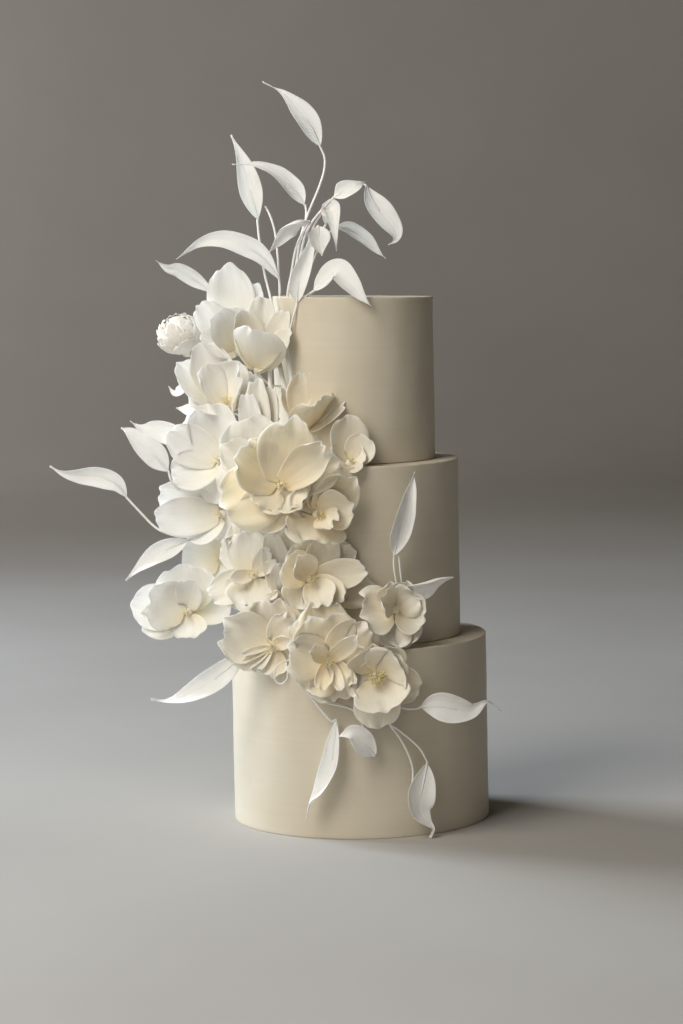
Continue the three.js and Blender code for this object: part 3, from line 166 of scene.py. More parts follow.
def petal_grid(nu, nv, spec, seed, frill=1.0, fine=1.0):
    """A petal's middle surface: x outward, y across, z along the flower's axis."""
    _, length, width, base, tip, cup = spec[:6]
    N = 96
    rise = np.radians(base + (tip - base) * (np.arange(N + 1) / N) ** 0.9)
    mid = (rise[1:] + rise[:-1]) / 2
    r = PETAL_BASE + np.concatenate([[0], np.cumsum(np.cos(mid) * length / N)])
    h = np.concatenate([[0], np.cumsum(np.sin(mid) * length / N)])
    ph, ph2, ph3, ph4 = (rnd(seed, k) * 6.283 for k in (1, 2, 3, 4))
    s = steps_to(nu, length, False)[:, None] * np.ones((1, nv + 1))
    v = steps_to(nv, width / 2, True)[None, :] * np.ones((nu + 1, 1))
    frill = frill * (0.5 + 1.4 * rnd(seed, 12))
    dip = 0.8 * (rnd(seed, 13) - 0.5)
    notch = 0.016 * np.sin(4.3 * v + ph3) + 0.010 * np.sin(9.1 * v + ph4) - 0.035 * rnd(seed, 14) * np.exp(-(((v - dip) / 0.16) ** 2))
    drop = PETAL_CAP * (1 - np.sqrt(1 - 0.5 * v * v))
    u = np.clip(s - drop * s**3 + fine * notch * s**6, 0, 1.02)
    at = lambda a: np.interp(u, np.arange(N + 1) / N, a)
    over = np.clip(u - 1, 0, 1) * length
    e = at(rise)
    rr, hh = at(r) + over * np.cos(e), at(h) + over * np.sin(e)
    w = width / 2 * petal_outline(s - 0.293 * PETAL_CAP * s**3) * (1 + fine * 0.02 * np.sin(5 * s + ph2) * s)
    bend = np.maximum(1e-3, cup * np.minimum(1, 0.3 + 1.6 * s) * (1 - 0.25 * s))
    lat = w * np.sin(bend * v) / bend
    d = w * (1 - np.cos(bend * v)) / bend
    edge = np.maximum(np.abs(v) ** 2.5, s**5) * s
    d = d + frill * 0.036 * width * edge * (np.sin(1.7 * np.pi * (v + 0.5 * s) + ph) + 0.5 * np.sin(3.3 * np.pi * v + ph2))
    d = d + fine * 0.006 * width * edge**1.6 * np.sin(5.6 * np.pi * (v - 0.4 * s) + ph3)
    d = d + fine * 0.012 * width * s * np.sin(2.3 * v + 3.2 * s + ph4)
    # the margin turns a little outward
    d = d + fine * 0.04 * (rnd(seed, 15) - 0.65) * width * np.maximum(s**9, np.abs(v) ** 9 * np.minimum(1, 2 * s))
    # a shallow fold down the middle, soft grooves beside it
    d = d + fine * 0.07 * np.sin(v * 17 + 0.8 * np.sin(5 * s + ph)) * s * (1 - 0.6 * s)
    d = d - fine * 0.25 * np.exp(-((v / 0.13) ** 2)) * (1 - s) * np.minimum(1, s * 4)
    d = d + 0.07 * width * 0.5 * v * (0.4 + 0.6 * s)
    P = np.stack([rr - np.sin(e) * d, lat, hh + np.cos(e) * d], -1)
    return P, s, v


def seat(P, centre, ax, angle):
    n, right, up = ax
    a = math.radians(angle)
    out = right * math.cos(a) + up * math.sin(a)
    side = -right * math.sin(a) + up * math.cos(a)
    return np.asarray(centre, float) + P[..., 0:1] * out + P[..., 1:2] * side + P[..., 2:3] * n


def leaf_outline(s, taper):
    wide = 0.36 - 0.03 * (taper - 1.35)
    a = np.sin(np.pi / 2 * np.clip(s / wide, 0, 1)) ** 0.8
    b = np.clip(np.cos(np.pi / 2 * np.clip((s - wide) / (1 - wide), 0, 1)), 0, 1) ** taper
    return np.where(s <= wide, a, b)


def leaf_grid(nu, nv, leaf, seed):
    _, mid, width, normal, (tw0, tw1), cup, wave = leaf[:7]
    taper = leaf[8] if len(leaf) > 8 else 1.35
    ph, ph2, ph3 = (rnd(seed, k) * 6.283 for k in (1, 2, 3))
    s1 = steps_to(nu, 60, False)
    C = along(mid, s1)
    T = along(mid, np.minimum(1, s1 + 0.02)) - along(mid, np.maximum(0, s1 - 0.02))
    T /= np.linalg.norm(T, axis=1, keepdims=True)
    nr = np.asarray(normal, float)
    N = nr - T * (T @ nr)[:, None]
    N /= np.linalg.norm(N, axis=1, keepdims=True)
    B = np.cross(T, N)
    a = np.radians(tw0 + (tw1 - tw0) * s1)[:, None]
    face = N * np.cos(a) + B * np.sin(a)
    side = -N * np.sin(a) + B * np.cos(a)
    s = s1[:, None] * np.ones((1, nv + 1))
    v = steps_to(nv, width / 2, True)[None, :] * np.ones((nu + 1, 1))
    w = np.maximum(0.5, width / 2 * leaf_outline(s, taper) * (1 + 0.03 * np.sin(11 * s + ph2 + 1.5 * np.sign(v))))
    bend = max(1e-3, cup)
    lat = w * np.sin(bend * v) / bend
    d = w * (1 - np.cos(bend * v)) / bend + wave * width * v * np.abs(v) * np.sin(9 * s + ph)
    d = d + 0.012 * width * np.abs(v) ** 2 * np.sin(23 * s + ph3 + v) * np.sin(np.pi * s)
    d = d - 0.45 * np.exp(-((v / 0.09) ** 2)) * np.sin(np.pi * np.clip(s, 0, 1)) ** 0.5  # midrib groove
    d = d + 0.03 * np.sin(v * 26) * np.sin(np.pi * s)  # fine ribs side by side
    P = C[:, None, :] + side[:, None, :] * lat[..., None] + face[:, None, :] * d[..., None]
    return P, s, v


# ---------------------------------------------------------------- mesh building
class Build:
    """Gathers vertices, faces, uv and a material index for one object."""

    def __init__(self):
        self.v, self.f, self.m, self.uv, self.tone = [], [], [], [], []
        self.n = 0

    def add(self, verts, faces, uv, mat, tone):
        verts = np.asarray(verts, float)
        faces = np.asarray(faces, int)
        self.v.append(verts)
        self.f.append((faces + self.n, mat))
        self.uv.append(np.asarray(uv, float))
        self.tone.append(np.asarray(tone, float))
        self.n += len(verts)

    def sheet(self, P, s, v, half, mat, tint, tail=0.0):
        """A thin closed leaf of paste about the middle surface P."""
        nu, nv = P.shape[0] - 1, P.shape[1] - 1
        du, dv = np.gradient(P, axis=0), np.gradient(P, axis=1)
        N = np.cross(du, dv)
        N /= np.linalg.norm(N, axis=2, keepdims=True) + 1e-12
        idx = np.full((2, nu + 1, nv + 1), -1)
        inner = np.zeros((nu + 1, nv + 1), bool)
        inner[1:-1, 1:-1] = True
        t = half(s, v)[..., None]
        top, bot = P + N * t, P - N * t
        k = int(inner.sum())
        idx[0][inner] = np.arange(k)
        idx[1][inner] = np.arange(k) + k
        rim = ~inner
        idx[0][rim] = idx[1][rim] = np.arange(int(rim.sum())) + 2 * k
        verts = np.concatenate([top[inner], bot[inner], P[rim]])
        uvs = np.stack([v * 0.5 + 0.5, s], -1)
        uv = np.concatenate([uvs[inner], uvs[inner], uvs[rim]])
        form = np.stack([s, np.abs(v), np.full_like(s, tint)], -1)
        tone = np.concatenate([form[inner], form[inner] * [1, 1, 1], form[rim]])
        a, b, c, d = (slice(0, -1), slice(0, -1)), (slice(1, None), slice(0, -1)), (slice(1, None), slice(1, None)), (slice(0, -1), slice(1, None))
        q = lambda I, o: np.stack([I[x].ravel() for x in o], -1)
        faces = np.concatenate([q(idx[0], (a, b, c, d)), q(idx[1], (a, d, c, b))])
        self.add(verts, faces, uv, mat, tone)

    def tube(self, pts, radius, mat, sides=8, steps=24, tint=0.5, ends=True, wrap=0.0):
        """A closed round wire along a smooth path; radius may be a function of t."""
        t = np.linspace(0, 1, steps + 1)
        C = along(pts, t)
        T = np.gradient(C, axis=0)
        T /= np.linalg.norm(T, axis=1, keepdims=True) + 1e-12
        A = np.zeros_like(C)
        a = unit(np.cross(T[0], [0.31, 0.17, 0.93]))
        for i in range(len(C)):
            a = unit(a - T[i] * (a @ T[i]))
            A[i] = a
        B = np.cross(T, A)
        ang = np.arange(sides) / sides * 2 * np.pi
        R = (radius(t) if callable(radius) else np.full(len(t), float(radius)))[:, None] * np.ones((1, sides))
        if wrap:
            length = np.concatenate([[0], np.cumsum(np.linalg.norm(np.diff(C, axis=0), axis=1))])
            R = R * (1 + 0.10 * (((length[:, None] / wrap + ang[None, :] / 6.2832) % 1.0) - 0.5))
        V = C[:, None] + R[..., None] * (A[:, None] * np.cos(ang)[None, :, None] + B[:, None] * np.sin(ang)[None, :, None])
        V = V.reshape(-1, 3)
        i = np.arange(steps)[:, None] * sides
        j = np.arange(sides)[None, :]
        j2 = (j + 1) % sides
        faces = np.stack([i + j, i + j2, i + sides + j2, i + sides + j], -1).reshape(-1, 4)
        tt = np.repeat(t, sides)
        uv = np.stack([np.tile(ang / 6.2832, steps + 1), tt], -1)
        n = len(V)
        V = np.vstack([V, C[0] - T[0] * R[0, 0] * 0.3, C[-1] + T[-1] * R[-1, 0] * 0.3])
        uv = np.vstack([uv, [[0, 0], [0, 1]]])
        tone = np.stack([np.append(tt, [0, 1]), np.zeros(n + 2), np.full(n + 2, tint)], -1)
        self.add(V, faces, uv, mat, tone)
        base = self.n - len(V)
        j = np.arange(sides)
        caps = np.concatenate([np.stack([np.full(sides, n), (j + 1) % sides, j], -1),
                               np.stack([np.full(sides, n + 1), steps * sides + j, steps * sides + (j + 1) % sides], -1)])
        self.f.append((caps + base, mat))

    def lathe(self, centre, axis, profile, mat, sides=16, tint=0.5):
        """A solid turned about axis; profile is (radius, height) from one end to the other."""
        n = unit(axis)
        a = unit(np.cross(n, [0.3, 0.2, 0.9]))
        b = np.cross(n, a)
        ang = np.arange(sides) / sides * 2 * np.pi
        ring = a[None] * np.cos(ang)[:, None] + b[None] * np.sin(ang)[:, None]
        c = np.asarray(centre, float)
        V, prof = [], profile[1:-1]
        for r, h in prof:
            V.append(c + n * h + ring * r)
        V = np.vstack(V + [[c + n * profile[0][1]], [c + n * profile[-1][1]]])
        k = len(prof)
        i = np.arange(k - 1)[:, None] * sides
        j = np.arange(sides)[None, :]
        j2 = (j + 1) % sides
        faces = np.stack([i + j, i + j2, i + sides + j2, i + sides + j], -1).reshape(-1, 4)
        h = np.concatenate([np.repeat([p[1] for p in prof], sides), [profile[0][1], profile[-1][1]]])
        uv = np.stack([np.append(np.tile(ang / 6.2832, k), [0, 0]), (h - h.min()) / (np.ptp(h) + 1e-9)], -1)
        tone = np.stack([uv[:, 1], np.zeros(len(V)), np.full(len(V), tint)], -1)
        self.add(V, faces, uv, mat, tone)
        base = self.n - len(V)
        j = np.arange(sides)
        caps = np.concatenate([np.stack([np.full(sides, k * sides), (j + 1) % sides, j], -1),
                               np.stack([np.full(sides, k * sides + 1), (k - 1) * sides + j, (k - 1) * sides + (j + 1) % sides], -1)])
        self.f.append((caps + base, mat))

    def make(self, name, materials):
        V = np.concatenate(self.v) * MM
        me = bpy.data.meshes.new(name)
        faces, mats = [], []
        for f, m in self.f:
            faces += f.tolist()
            mats += [m] * len(f)
        me.from_pydata(V.tolist(), [], faces)
        for m in materials:
            me.materials.append(m)
        me.polygons.foreach_set("material_index", mats)
        me.polygons.foreach_set("use_smooth", [True] * len(faces))
        loops = np.empty(len(me.loops), int)
        me.loops.foreach_get("vertex_index", loops)
        uv = np.concatenate(self.uv)[loops]
        layer = me.uv_layers.new(name="UVMap")
        layer.data.foreach_set("uv", uv.astype(np.float32).ravel())
        tone = np.concatenate(self.tone)
        col = me.color_attributes.new(name="form", type="FLOAT_COLOR", domain="POINT")
        col.data.foreach_set("color", np.concatenate([tone, np.ones((len(tone), 1))], 1).astype(np.float32).ravel())
        me.update()
        ob = bpy.data.objects.new(name, me)
        bpy.context.scene.collection.objects.link(ob)
        return ob


# ---------------------------------------------------------------- materials
def new_material(name):
    m = bpy.data.materials.new(name)
    m.use_nodes = True
    nt = m.node_tree
    for n in list(nt.nodes):
        nt.nodes.remove(n)
    out = nt.nodes.new("ShaderNodeOutputMaterial")
    b = nt.nodes.new("ShaderNodeBsdfPrincipled")
    nt.links.new(b.outputs[0], out.inputs[0])
    return m, nt, b


def node(nt, kind, **kw):
    n = nt.nodes.new(kind)
    for k, v in kw.items():
        if k.startswith("in_"):
            key = k[3:]
            n.inputs[int(key) if key.isdigit() else key.replace("_", " ")].default_value = v
        else:
            setattr(n, k, v)
    return n


def ramp(nt, stops, fac):
    r = nt.nodes.new("ShaderNodeValToRGB")
    e = r.color_ramp.elements
    while len(e) < len(stops):
        e.new(0.5)
    for i, (p, c) in enumerate(stops):
        e[i].position = p
        e[i].color = (*c, 1) if len(c) == 3 else c
    nt.links.new(fac, r.inputs[0])
    return r


def mix(nt, fac, a, b, mode="MIX"):
    m = nt.nodes.new("ShaderNodeMix")
    m.data_type = "RGBA"
    m.blend_type = mode
    for sock, val in ((m.inputs[0], fac), (m.inputs[6], a), (m.inputs[7], b)):
        if hasattr(val, "links"):
            nt.links.new(val, sock)
        elif isinstance(val, (int, float)):
            sock.default_value = val
        else:
            sock.default_value = (*val, 1)
    return m.outputs[2]


def math_(nt, op, a, b=None, clamp=False):
    m = nt.nodes.new("ShaderNodeMath")
    m.operation = op
    m.use_clamp = clamp
    for i, val in enumerate((a, b)):
        if val is None:
            continue
        if hasattr(val, "links"):
            nt.links.new(val, m.inputs[i])
        else:
            m.inputs[i].default_value = val
    return m.outputs[0]


def icing_material():
    m, nt, b = new_material("ivory_icing")
    tc = node(nt, "ShaderNodeTexCoord")
    sep = node(nt, "ShaderNodeSeparateXYZ")
    nt.links.new(tc.outputs["Object"], sep.inputs[0])
    ang = math_(nt, "ARCTAN2", sep.outputs[1], sep.outputs[0])
    turn = math_(nt, "MULTIPLY", ang, 0.1)  # about metres round the side
    comb = node(nt, "ShaderNodeCombineXYZ")
    nt.links.new(turn, comb.inputs[0])
    nt.links.new(sep.outputs[2], comb.inputs[2])
    side = comb.outputs[0]
    # long faint passes of the scraper, round the side
    stretch = node(nt, "ShaderNodeMapping")
    stretch.inputs["Scale"].default_value = (6, 1, 260)
    nt.links.new(side, stretch.inputs[0])
    scrape = node(nt, "ShaderNodeTexNoise", in_Scale=1.0, in_Detail=5.0, in_Roughness=0.62)
    nt.links.new(stretch.outputs[0], scrape.inputs["Vector"])
    # broad unevenness of the coat
    broad = node(nt, "ShaderNodeTexNoise", in_Scale=16.0, in_Detail=3.0, in_Roughness=0.5)
    nt.links.new(tc.outputs["Object"], broad.inputs["Vector"])
    fine = node(nt, "ShaderNodeTexNoise", in_Scale=900.0, in_Detail=3.0, in_Roughness=0.6)
    nt.links.new(tc.outputs["Object"], fine.inputs["Vector"])
    # few small pin holes
    vor = node(nt, "ShaderNodeTexVoronoi", in_Scale=58.0, in_Randomness=1.0)
    nt.links.new(tc.outputs["Object"], vor.inputs["Vector"])
    holes = ramp(nt, [(0.0, (0, 0, 0)), (0.028, (1, 1, 1))], vor.outputs["Distance"])
    pick = node(nt, "ShaderNodeTexNoise", in_Scale=23.0, in_Detail=1.0)
    nt.links.new(tc.outputs["Object"], pick.inputs["Vector"])
    some = ramp(nt, [(0.54, (1, 1, 1)), (0.58, (0, 0, 0))], pick.outputs[0])
    holes = mix(nt, 1.0, holes.outputs[0], some.outputs[0], "LIGHTEN")
    # colour: ivory, a little deeper where the broad noise is low, the same noise that raises the coat's broad bump
    tone = ramp(nt, [(0.3, ICING_DEEP), (0.7, ICING_LIGHT)], broad.outputs[0])
    strk = ramp(nt, [(0.38, (0.978, 0.975, 0.97)), (0.62, (1, 1, 1))], scrape.outputs[0])
    col = mix(nt, 1.0, tone.outputs[0], strk.outputs[0], "MULTIPLY")
    # the pin holes are painted darker and warmer: painted shade inside the small hollows
    hole_painted_shade = mix(nt, 1.0, col, (0.86, 0.82, 0.76), "MULTIPLY")
    col = mix(nt, holes, hole_painted_shade, col)
    nt.links.new(col, b.inputs["Base Color"])
    rough = ramp(nt, [(0.3, (0.40, 0.40, 0.40)), (0.7, (0.55, 0.55, 0.55))], scrape.outputs[0])
    nt.links.new(rough.outputs[0], b.inputs["Roughness"])
    b.inputs["Specular IOR Level"].default_value = 0.38
    b.inputs["Subsurface Weight"].default_value = 0.12
    b.inputs["Subsurface Radius"].default_value = (1.0, 0.7, 0.45)
    b.inputs["Subsurface Scale"].default_value = 0.004
    b1 = node(nt, "ShaderNodeBump", in_Strength=0.12, in_Distance=0.0006)
    nt.links.new(scrape.outputs[0], b1.inputs["Height"])
    b2 = node(nt, "ShaderNodeBump", in_Strength=0.30, in_Distance=0.0022)
    nt.links.new(broad.outputs[0], b2.inputs["Height"])
    nt.links.new(b1.outputs[0], b2.inputs["Normal"])
    b3 = node(nt, "ShaderNodeBump", in_Strength=0.10, in_Distance=0.0002)
    nt.links.new(fine.outputs[0], b3.inputs["Height"])
    nt.links.new(b2.outputs[0], b3.inputs["Normal"])
    b4 = node(nt, "ShaderNodeBump", in_Strength=0.6, in_Distance=0.0007)
    nt.links.new(holes, b4.inputs["Height"])
    nt.links.new(b3.outputs[0], b4.inputs["Normal"])
    nt.links.new(b4.outputs[0], b.inputs["Normal"])
    return m


def petal_material(name="sugar_petal", soft=0.75):
    m, nt, b = new_material(name)
    at = node(nt, "ShaderNodeAttribute", attribute_name="form")
    sep = node(nt, "ShaderNodeSeparateColor")
    nt.links.new(at.outputs["Color"], sep.inputs[0])
    s, edge, tint = sep.outputs[0], sep.outputs[1], sep.outputs[2]
    tc = node(nt, "ShaderNodeTexCoord")
    uv = node(nt, "ShaderNodeMapping")
    uv.inputs["Scale"].default_value = (26, 1.6, 1)
    nt.links.new(tc.outputs["UV"], uv.inputs[0])
    vein = node(nt, "ShaderNodeTexNoise", in_Scale=1.0, in_Detail=4.0, in_Roughness=0.55, in_Distortion=0.4)
    nt.links.new(uv.outputs[0], vein.inputs["Vector"])
    mott = node(nt, "ShaderNodeTexNoise", in_Scale=55.0, in_Detail=4.0, in_Roughness=0.55)
    nt.links.new(tc.outputs["Object"], mott.inputs["Vector"])
    # cream paste painted darker and warmer toward the petal's foot, deep in the flower's cup: painted shade of the
    # heart over the paste's own cream
    body = ramp(nt, [(0.0, PETAL_HEART_SHADED), (0.22, PETAL_DEEP_SHADED), (0.6, PETAL_MID), (1.0, PETAL_TIP)], s)
    # multiplying by this warm colour paints the shade that falls on flowers deep in the cascade; the form attribute's
    # third channel says how much
    painted_shade_colour = mix(nt, 1.0, body.outputs[0], (0.95, 0.855, 0.69), "MULTIPLY")
    col = mix(nt, tint, body.outputs[0], painted_shade_colour)
    streak = ramp(nt, [(0.35, (0.955, 0.945, 0.92)), (0.6, (1, 1, 1))], vein.outputs[0])
    col = mix(nt, 0.75, col, streak.outputs[0], "MULTIPLY")
    patch = ramp(nt, [(0.35, (0.965, 0.96, 0.945)), (0.65, (1, 1, 1))], mott.outputs[0])
    col = mix(nt, 0.8, col, patch.outputs[0], "MULTIPLY")
    # the thin margin is painted lighter: painted light standing in for what shines through it
    far = math_(nt, "MAXIMUM", s, edge)
    thin = ramp(nt, [(0.95, (0, 0, 0)), (0.99, (0.9, 0.9, 0.9))], far)
    col = mix(nt, thin.outputs[0], col, PETAL_RIM_GLOW)
    nt.links.new(col, b.inputs["Base Color"])
    rough = ramp(nt, [(0.3, (0.46, 0.46, 0.46)), (0.7, (0.62, 0.62, 0.62))], mott.outputs[0])
    nt.links.new(rough.outputs[0], b.inputs["Roughness"])
    b.inputs["Specular IOR Level"].default_value = 0.32
    b.inputs["Subsurface Weight"].default_value = soft
    b.inputs["Subsurface Radius"].default_value = (1.0, 1.0, 1.0)
    b.inputs["Subsurface Scale"].default_value = 0.001
    b.inputs["Sheen Weight"].default_value = 0.06
    b1 = node(nt, "ShaderNodeBump", in_Strength=0.30, in_Distance=0.0006)
    nt.links.new(vein.outputs[0], b1.inputs["Height"])
    b2 = node(nt, "ShaderNodeBump", in_Strength=0.14, in_Distance=0.0007)
    nt.links.new(mott.outputs[0], b2.inputs["Height"])
    nt.links.new(b1.outputs[0], b2.inputs["Normal"])
    nt.links.new(b2.outputs[0], b.inputs["Normal"])
    return m


def leaf_material():
    m, nt, b = new_material("sugar_leaf")
    tc = node(nt, "ShaderNodeTexCoord")
    uv = node(nt, "ShaderNodeMapping")
    uv.inputs["Scale"].default_value = (34, 2.2, 1)
    nt.links.new(tc.outputs["UV"], uv.inputs[0])
    vein = node(nt, "ShaderNodeTexNoise", in_Scale=1.0, in_Detail=3.0, in_Roughness=0.5, in_Distortion=0.2)
    nt.links.new(uv.outputs[0], vein.inputs["Vector"])
    mott = node(nt, "ShaderNodeTexNoise", in_Scale=80.0, in_Detail=4.0)
    nt.links.new(tc.outputs["Object"], mott.inputs["Vector"])
    streak = ramp(nt, [(0.32, LEAF_DEEP), (0.62, LEAF_LIGHT)], vein.outputs[0])
    patch = ramp(nt, [(0.35, (0.97, 0.965, 0.955)), (0.65, (1, 1, 1))], mott.outputs[0])
    col = mix(nt, 1.0, streak.outputs[0], patch.outputs[0], "MULTIPLY")
    nt.links.new(col, b.inputs["Base Color"])
    rough = ramp(nt, [(0.3, (0.52, 0.52, 0.52)), (0.7, (0.66, 0.66, 0.66))], mott.outputs[0])
    nt.links.new(rough.outputs[0], b.inputs["Roughness"])
    b.inputs["Specular IOR Level"].default_value = 0.3
    b.inputs["Subsurface Weight"].default_value = 0.7
    b.inputs["Subsurface Radius"].default_value = (1.0, 1.0, 1.0)
    b.inputs["Subsurface Scale"].default_value = 0.001
    b1 = node(nt, "ShaderNodeBump", in_Strength=0.4, in_Distance=0.0006)
    nt.links.new(vein.outputs[0], b1.inputs["Height"])
    b2 = node(nt, "ShaderNodeBump", in_Strength=0.15, in_Distance=0.0005)
    nt.links.new(mott.outputs[0], b2.inputs["Height"])
    nt.links.new(b1.outputs[0], b2.inputs["Normal"])
    nt.links.new(b2.outputs[0], b.inputs["Normal"])
    return m


def plain_material(name, light, deep, rough, scale, bump=0.2, dist=0.0003, sss=0.2, stretch=(1, 1, 1), coords="Object"):
    m, nt, b = new_material(name)
    tc = node(nt, "ShaderNodeTexCoord")
    mp = node(nt, "ShaderNodeMapping")
    mp.inputs["Scale"].default_value = stretch
    nt.links.new(tc.outputs[coords], mp.inputs[0])
    ns = node(nt, "ShaderNodeTexNoise", in_Scale=scale, in_Detail=4.0)
    nt.links.new(mp.outputs[0], ns.inputs["Vector"])
    c = ramp(nt, [(0.32, deep), (0.66, light)], ns.outputs[0])
    nt.links.new(c.outputs[0], b.inputs["Base Color"])
    r = ramp(nt, [(0.3, (rough - 0.06,) * 3), (0.7, (rough + 0.06,) * 3)], ns.outputs[0])
    nt.links.new(r.outputs[0], b.inputs["Roughness"])
    b.inputs["Subsurface Weight"].default_value = sss
    b.inputs["Subsurface Scale"].default_value = 0.002
    bp = node(nt, "ShaderNodeBump", in_Strength=bump, in_Distance=dist)
    nt.links.new(ns.outputs[0], bp.inputs["Height"])
    nt.links.new(bp.outputs[0], b.inputs["Normal"])
    return m


ICING_LIGHT, ICING_DEEP = (0.716, 0.656, 0.537), (0.684, 0.614, 0.482)
# petal colours from foot to tip: the foot colours are the cream paste plus painted shade of the cup's heart
PETAL_HEART_SHADED, PETAL_DEEP_SHADED, PETAL_MID, PETAL_TIP = (0.93, 0.86, 0.68), (0.955, 0.925, 0.845), (0.975, 0.965, 0.935), (0.982, 0.978, 0.966)
PETAL_RIM_GLOW = (0.99, 0.978, 0.94)
LEAF_LIGHT, LEAF_DEEP = (0.955, 0.95, 0.93), (0.91, 0.90, 0.87)
ICING = icing_material()
PETAL = petal_material()
BUD_PETAL = petal_material("sugar_bud_petal", 0.12)
LEAF = leaf_material()
STEM = plain_material("wrapped_wire", (0.94, 0.93, 0.895), (0.88, 0.865, 0.82), 0.55, 1.0, bump=0.35, dist=0.0003, stretch=(3, 240, 1), coords="UV")
FILAMENT = plain_material("stamen_thread", (0.93, 0.87, 0.66), (0.90, 0.80, 0.52), 0.5, 400.0)
ANTHER = plain_material("stamen_tip", (0.84, 0.73, 0.42), (0.72, 0.58, 0.28), 0.75, 1400.0, bump=0.8, dist=0.0004, sss=0.1)
CALYX_MAT = plain_material("calyx_paste", (0.90, 0.87, 0.79), (0.84, 0.80, 0.70), 0.6, 300.0)
MATS = [PETAL, LEAF, STEM, FILAMENT, ANTHER, CALYX_MAT, BUD_PETAL]
M_PETAL, M_LEAF, M_STEM, M_FIL, M_ANT, M_CAL, M_BUD = range(7)


# ---------------------------------------------------------------- pieces
def petal_half(s, v):
    return 0.20 + 0.42 * (1 - s) ** 1.3 * (1 - 0.5 * v * v)


def leaf_half(s, v):
    return 0.22 + 0.38 * np.exp(-((v / 0.22) ** 2)) * (1 - 0.6 * s)


def root_of(centre, n):
    back = centre + n * -8
    z = max(12, back[2] - 14)
    k = next((i for i, t in enumerate(TIER_TOP) if z < t), 2)
    a, R = math.atan2(back[1], back[0]), TIER_RADIUS[k] - 4
    return back, np.array([R * math.cos(a), R * math.sin(a), z])


def support(b, centre, n, size=CALYX):
    k = size / 4.6
    prof = [(0, -9), (0.35, -8.4), (0.72, -6.5), (0.93, -4), (1, -1.5), (0.92, 0.4), (0.7, 1.8), (0.3, 2.7), (0, 3)]
    b.lathe(centre, n, [(r * size, h * k) for r, h in prof], M_CAL, 18)
    back, root = root_of(centre, n)
    bend = back * 0.5 + root * 0.5 + n * -6
    b.tube([centre - n * 5, back, bend, root], STEM_RADIUS, M_STEM, 8, 22, wrap=2.4)


def stamens(b, centre, n, right, up, seed, count, length, spread, size=0.75, lean=(0.0, 0.0)):
    for i in range(count):
        a = 2.39996 * i + rnd(seed, i + 5) * 0.7
        q = math.sqrt((i + 0.5) / count)
        th = spread * q * (0.75 + 0.5 * rnd(seed, i + 40))
        L = length * (0.75 + 0.4 * rnd(seed, i + 80)) * (1.05 - 0.25 * q)
        side = right * math.cos(a) + up * math.sin(a)
        d0 = unit(n + side * math.tan(th * 0.6) + right * lean[0] + up * lean[1])
        d1 = unit(n + side * math.tan(min(1.25, th * 1.35)) + right * lean[0] * 1.3 + up * lean[1] * 1.3)
        p0 = centre + n * 1.5 + side * (1.1 * q)
        p1 = p0 + d0 * L * 0.55
        p2 = p1 + d1 * L * 0.45
        b.tube([p0, p1, p2], 0.26, M_FIL, 5, 5, tint=rnd(seed, i))
        k = size * (0.8 + 0.45 * rnd(seed, i + 120))
        ax = unit(d1 + side * 0.6)
        b.lathe(p2, ax, [(0, -1.5 * k), (0.55 * k, -1.1 * k), (0.8 * k, -0.2 * k), (0.62 * k, 0.8 * k), (0, 1.35 * k)], M_ANT, 7, rnd(seed, i + 160))
    # pistil
    b.tube([centre, centre + n * length * 0.45, centre + n * length * 0.75], lambda t: 1.0 - 0.5 * t, M_FIL, 8, 6)


def finish_piece(b, name, node_name):
    ob = b.make(name, MATS)
    used = sorted({p for p in set(int(x) for x in np.unique([q.material_index for q in ob.data.polygons]))})
    # keep only the materials this piece shows
    remap = {m: i for i, m in enumerate(used)}
    idx = np.empty(len(ob.data.polygons), int)
    ob.data.polygons.foreach_get("material_index", idx)
    ob.data.materials.clear()
    for m in used:
        ob.data.materials.append(MATS[m])
    ob.data.polygons.foreach_set("material_index", [remap[int(x)] for x in idx])
    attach(ob, "root")
    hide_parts(node_name)
    return ob


def make_flower(k, flower):
    name, centre, facing, petals = flower
    petals = FINER.get(name, petals)
    # this flower's share of painted shade, from 0 for lit white flowers to 1 for warm shaded ones
    painted_shade = PAINTED_SHADE_BY_FLOWER.get(name, 0.35)
    b = Build()
    ax = axes(*facing)
    c = np.array(centre, float)
    for i, p in enumerate(petals):
        seed = k * 10 + i + 1
        nu = max(14, int(p[1] / 1.9))
        nv = max(14, int(p[2] / 1.9))
        P, s, v = petal_grid(nu, nv + nv % 2, p, seed, FRILL.get(name, 1.0), CRINKLE.get(name, 1.0))
        b.sheet(seat(P, c - ax[0] * PETAL_STEP * (len(petals) - 1 - i), ax, p[0]), s, v, petal_half, M_PETAL, min(1, max(0, painted_shade + 0.3 * (rnd(seed, 9) - 0.5))))
    support(b, c, ax[0])
    count, length, spread, size = HEARTS.get(name, (14, 7, 0.5, 0.6))
    stamens(b, c, *ax, 900 + k, count, length, spread, size)
    return finish_piece(b, "sugar_" + name, name)


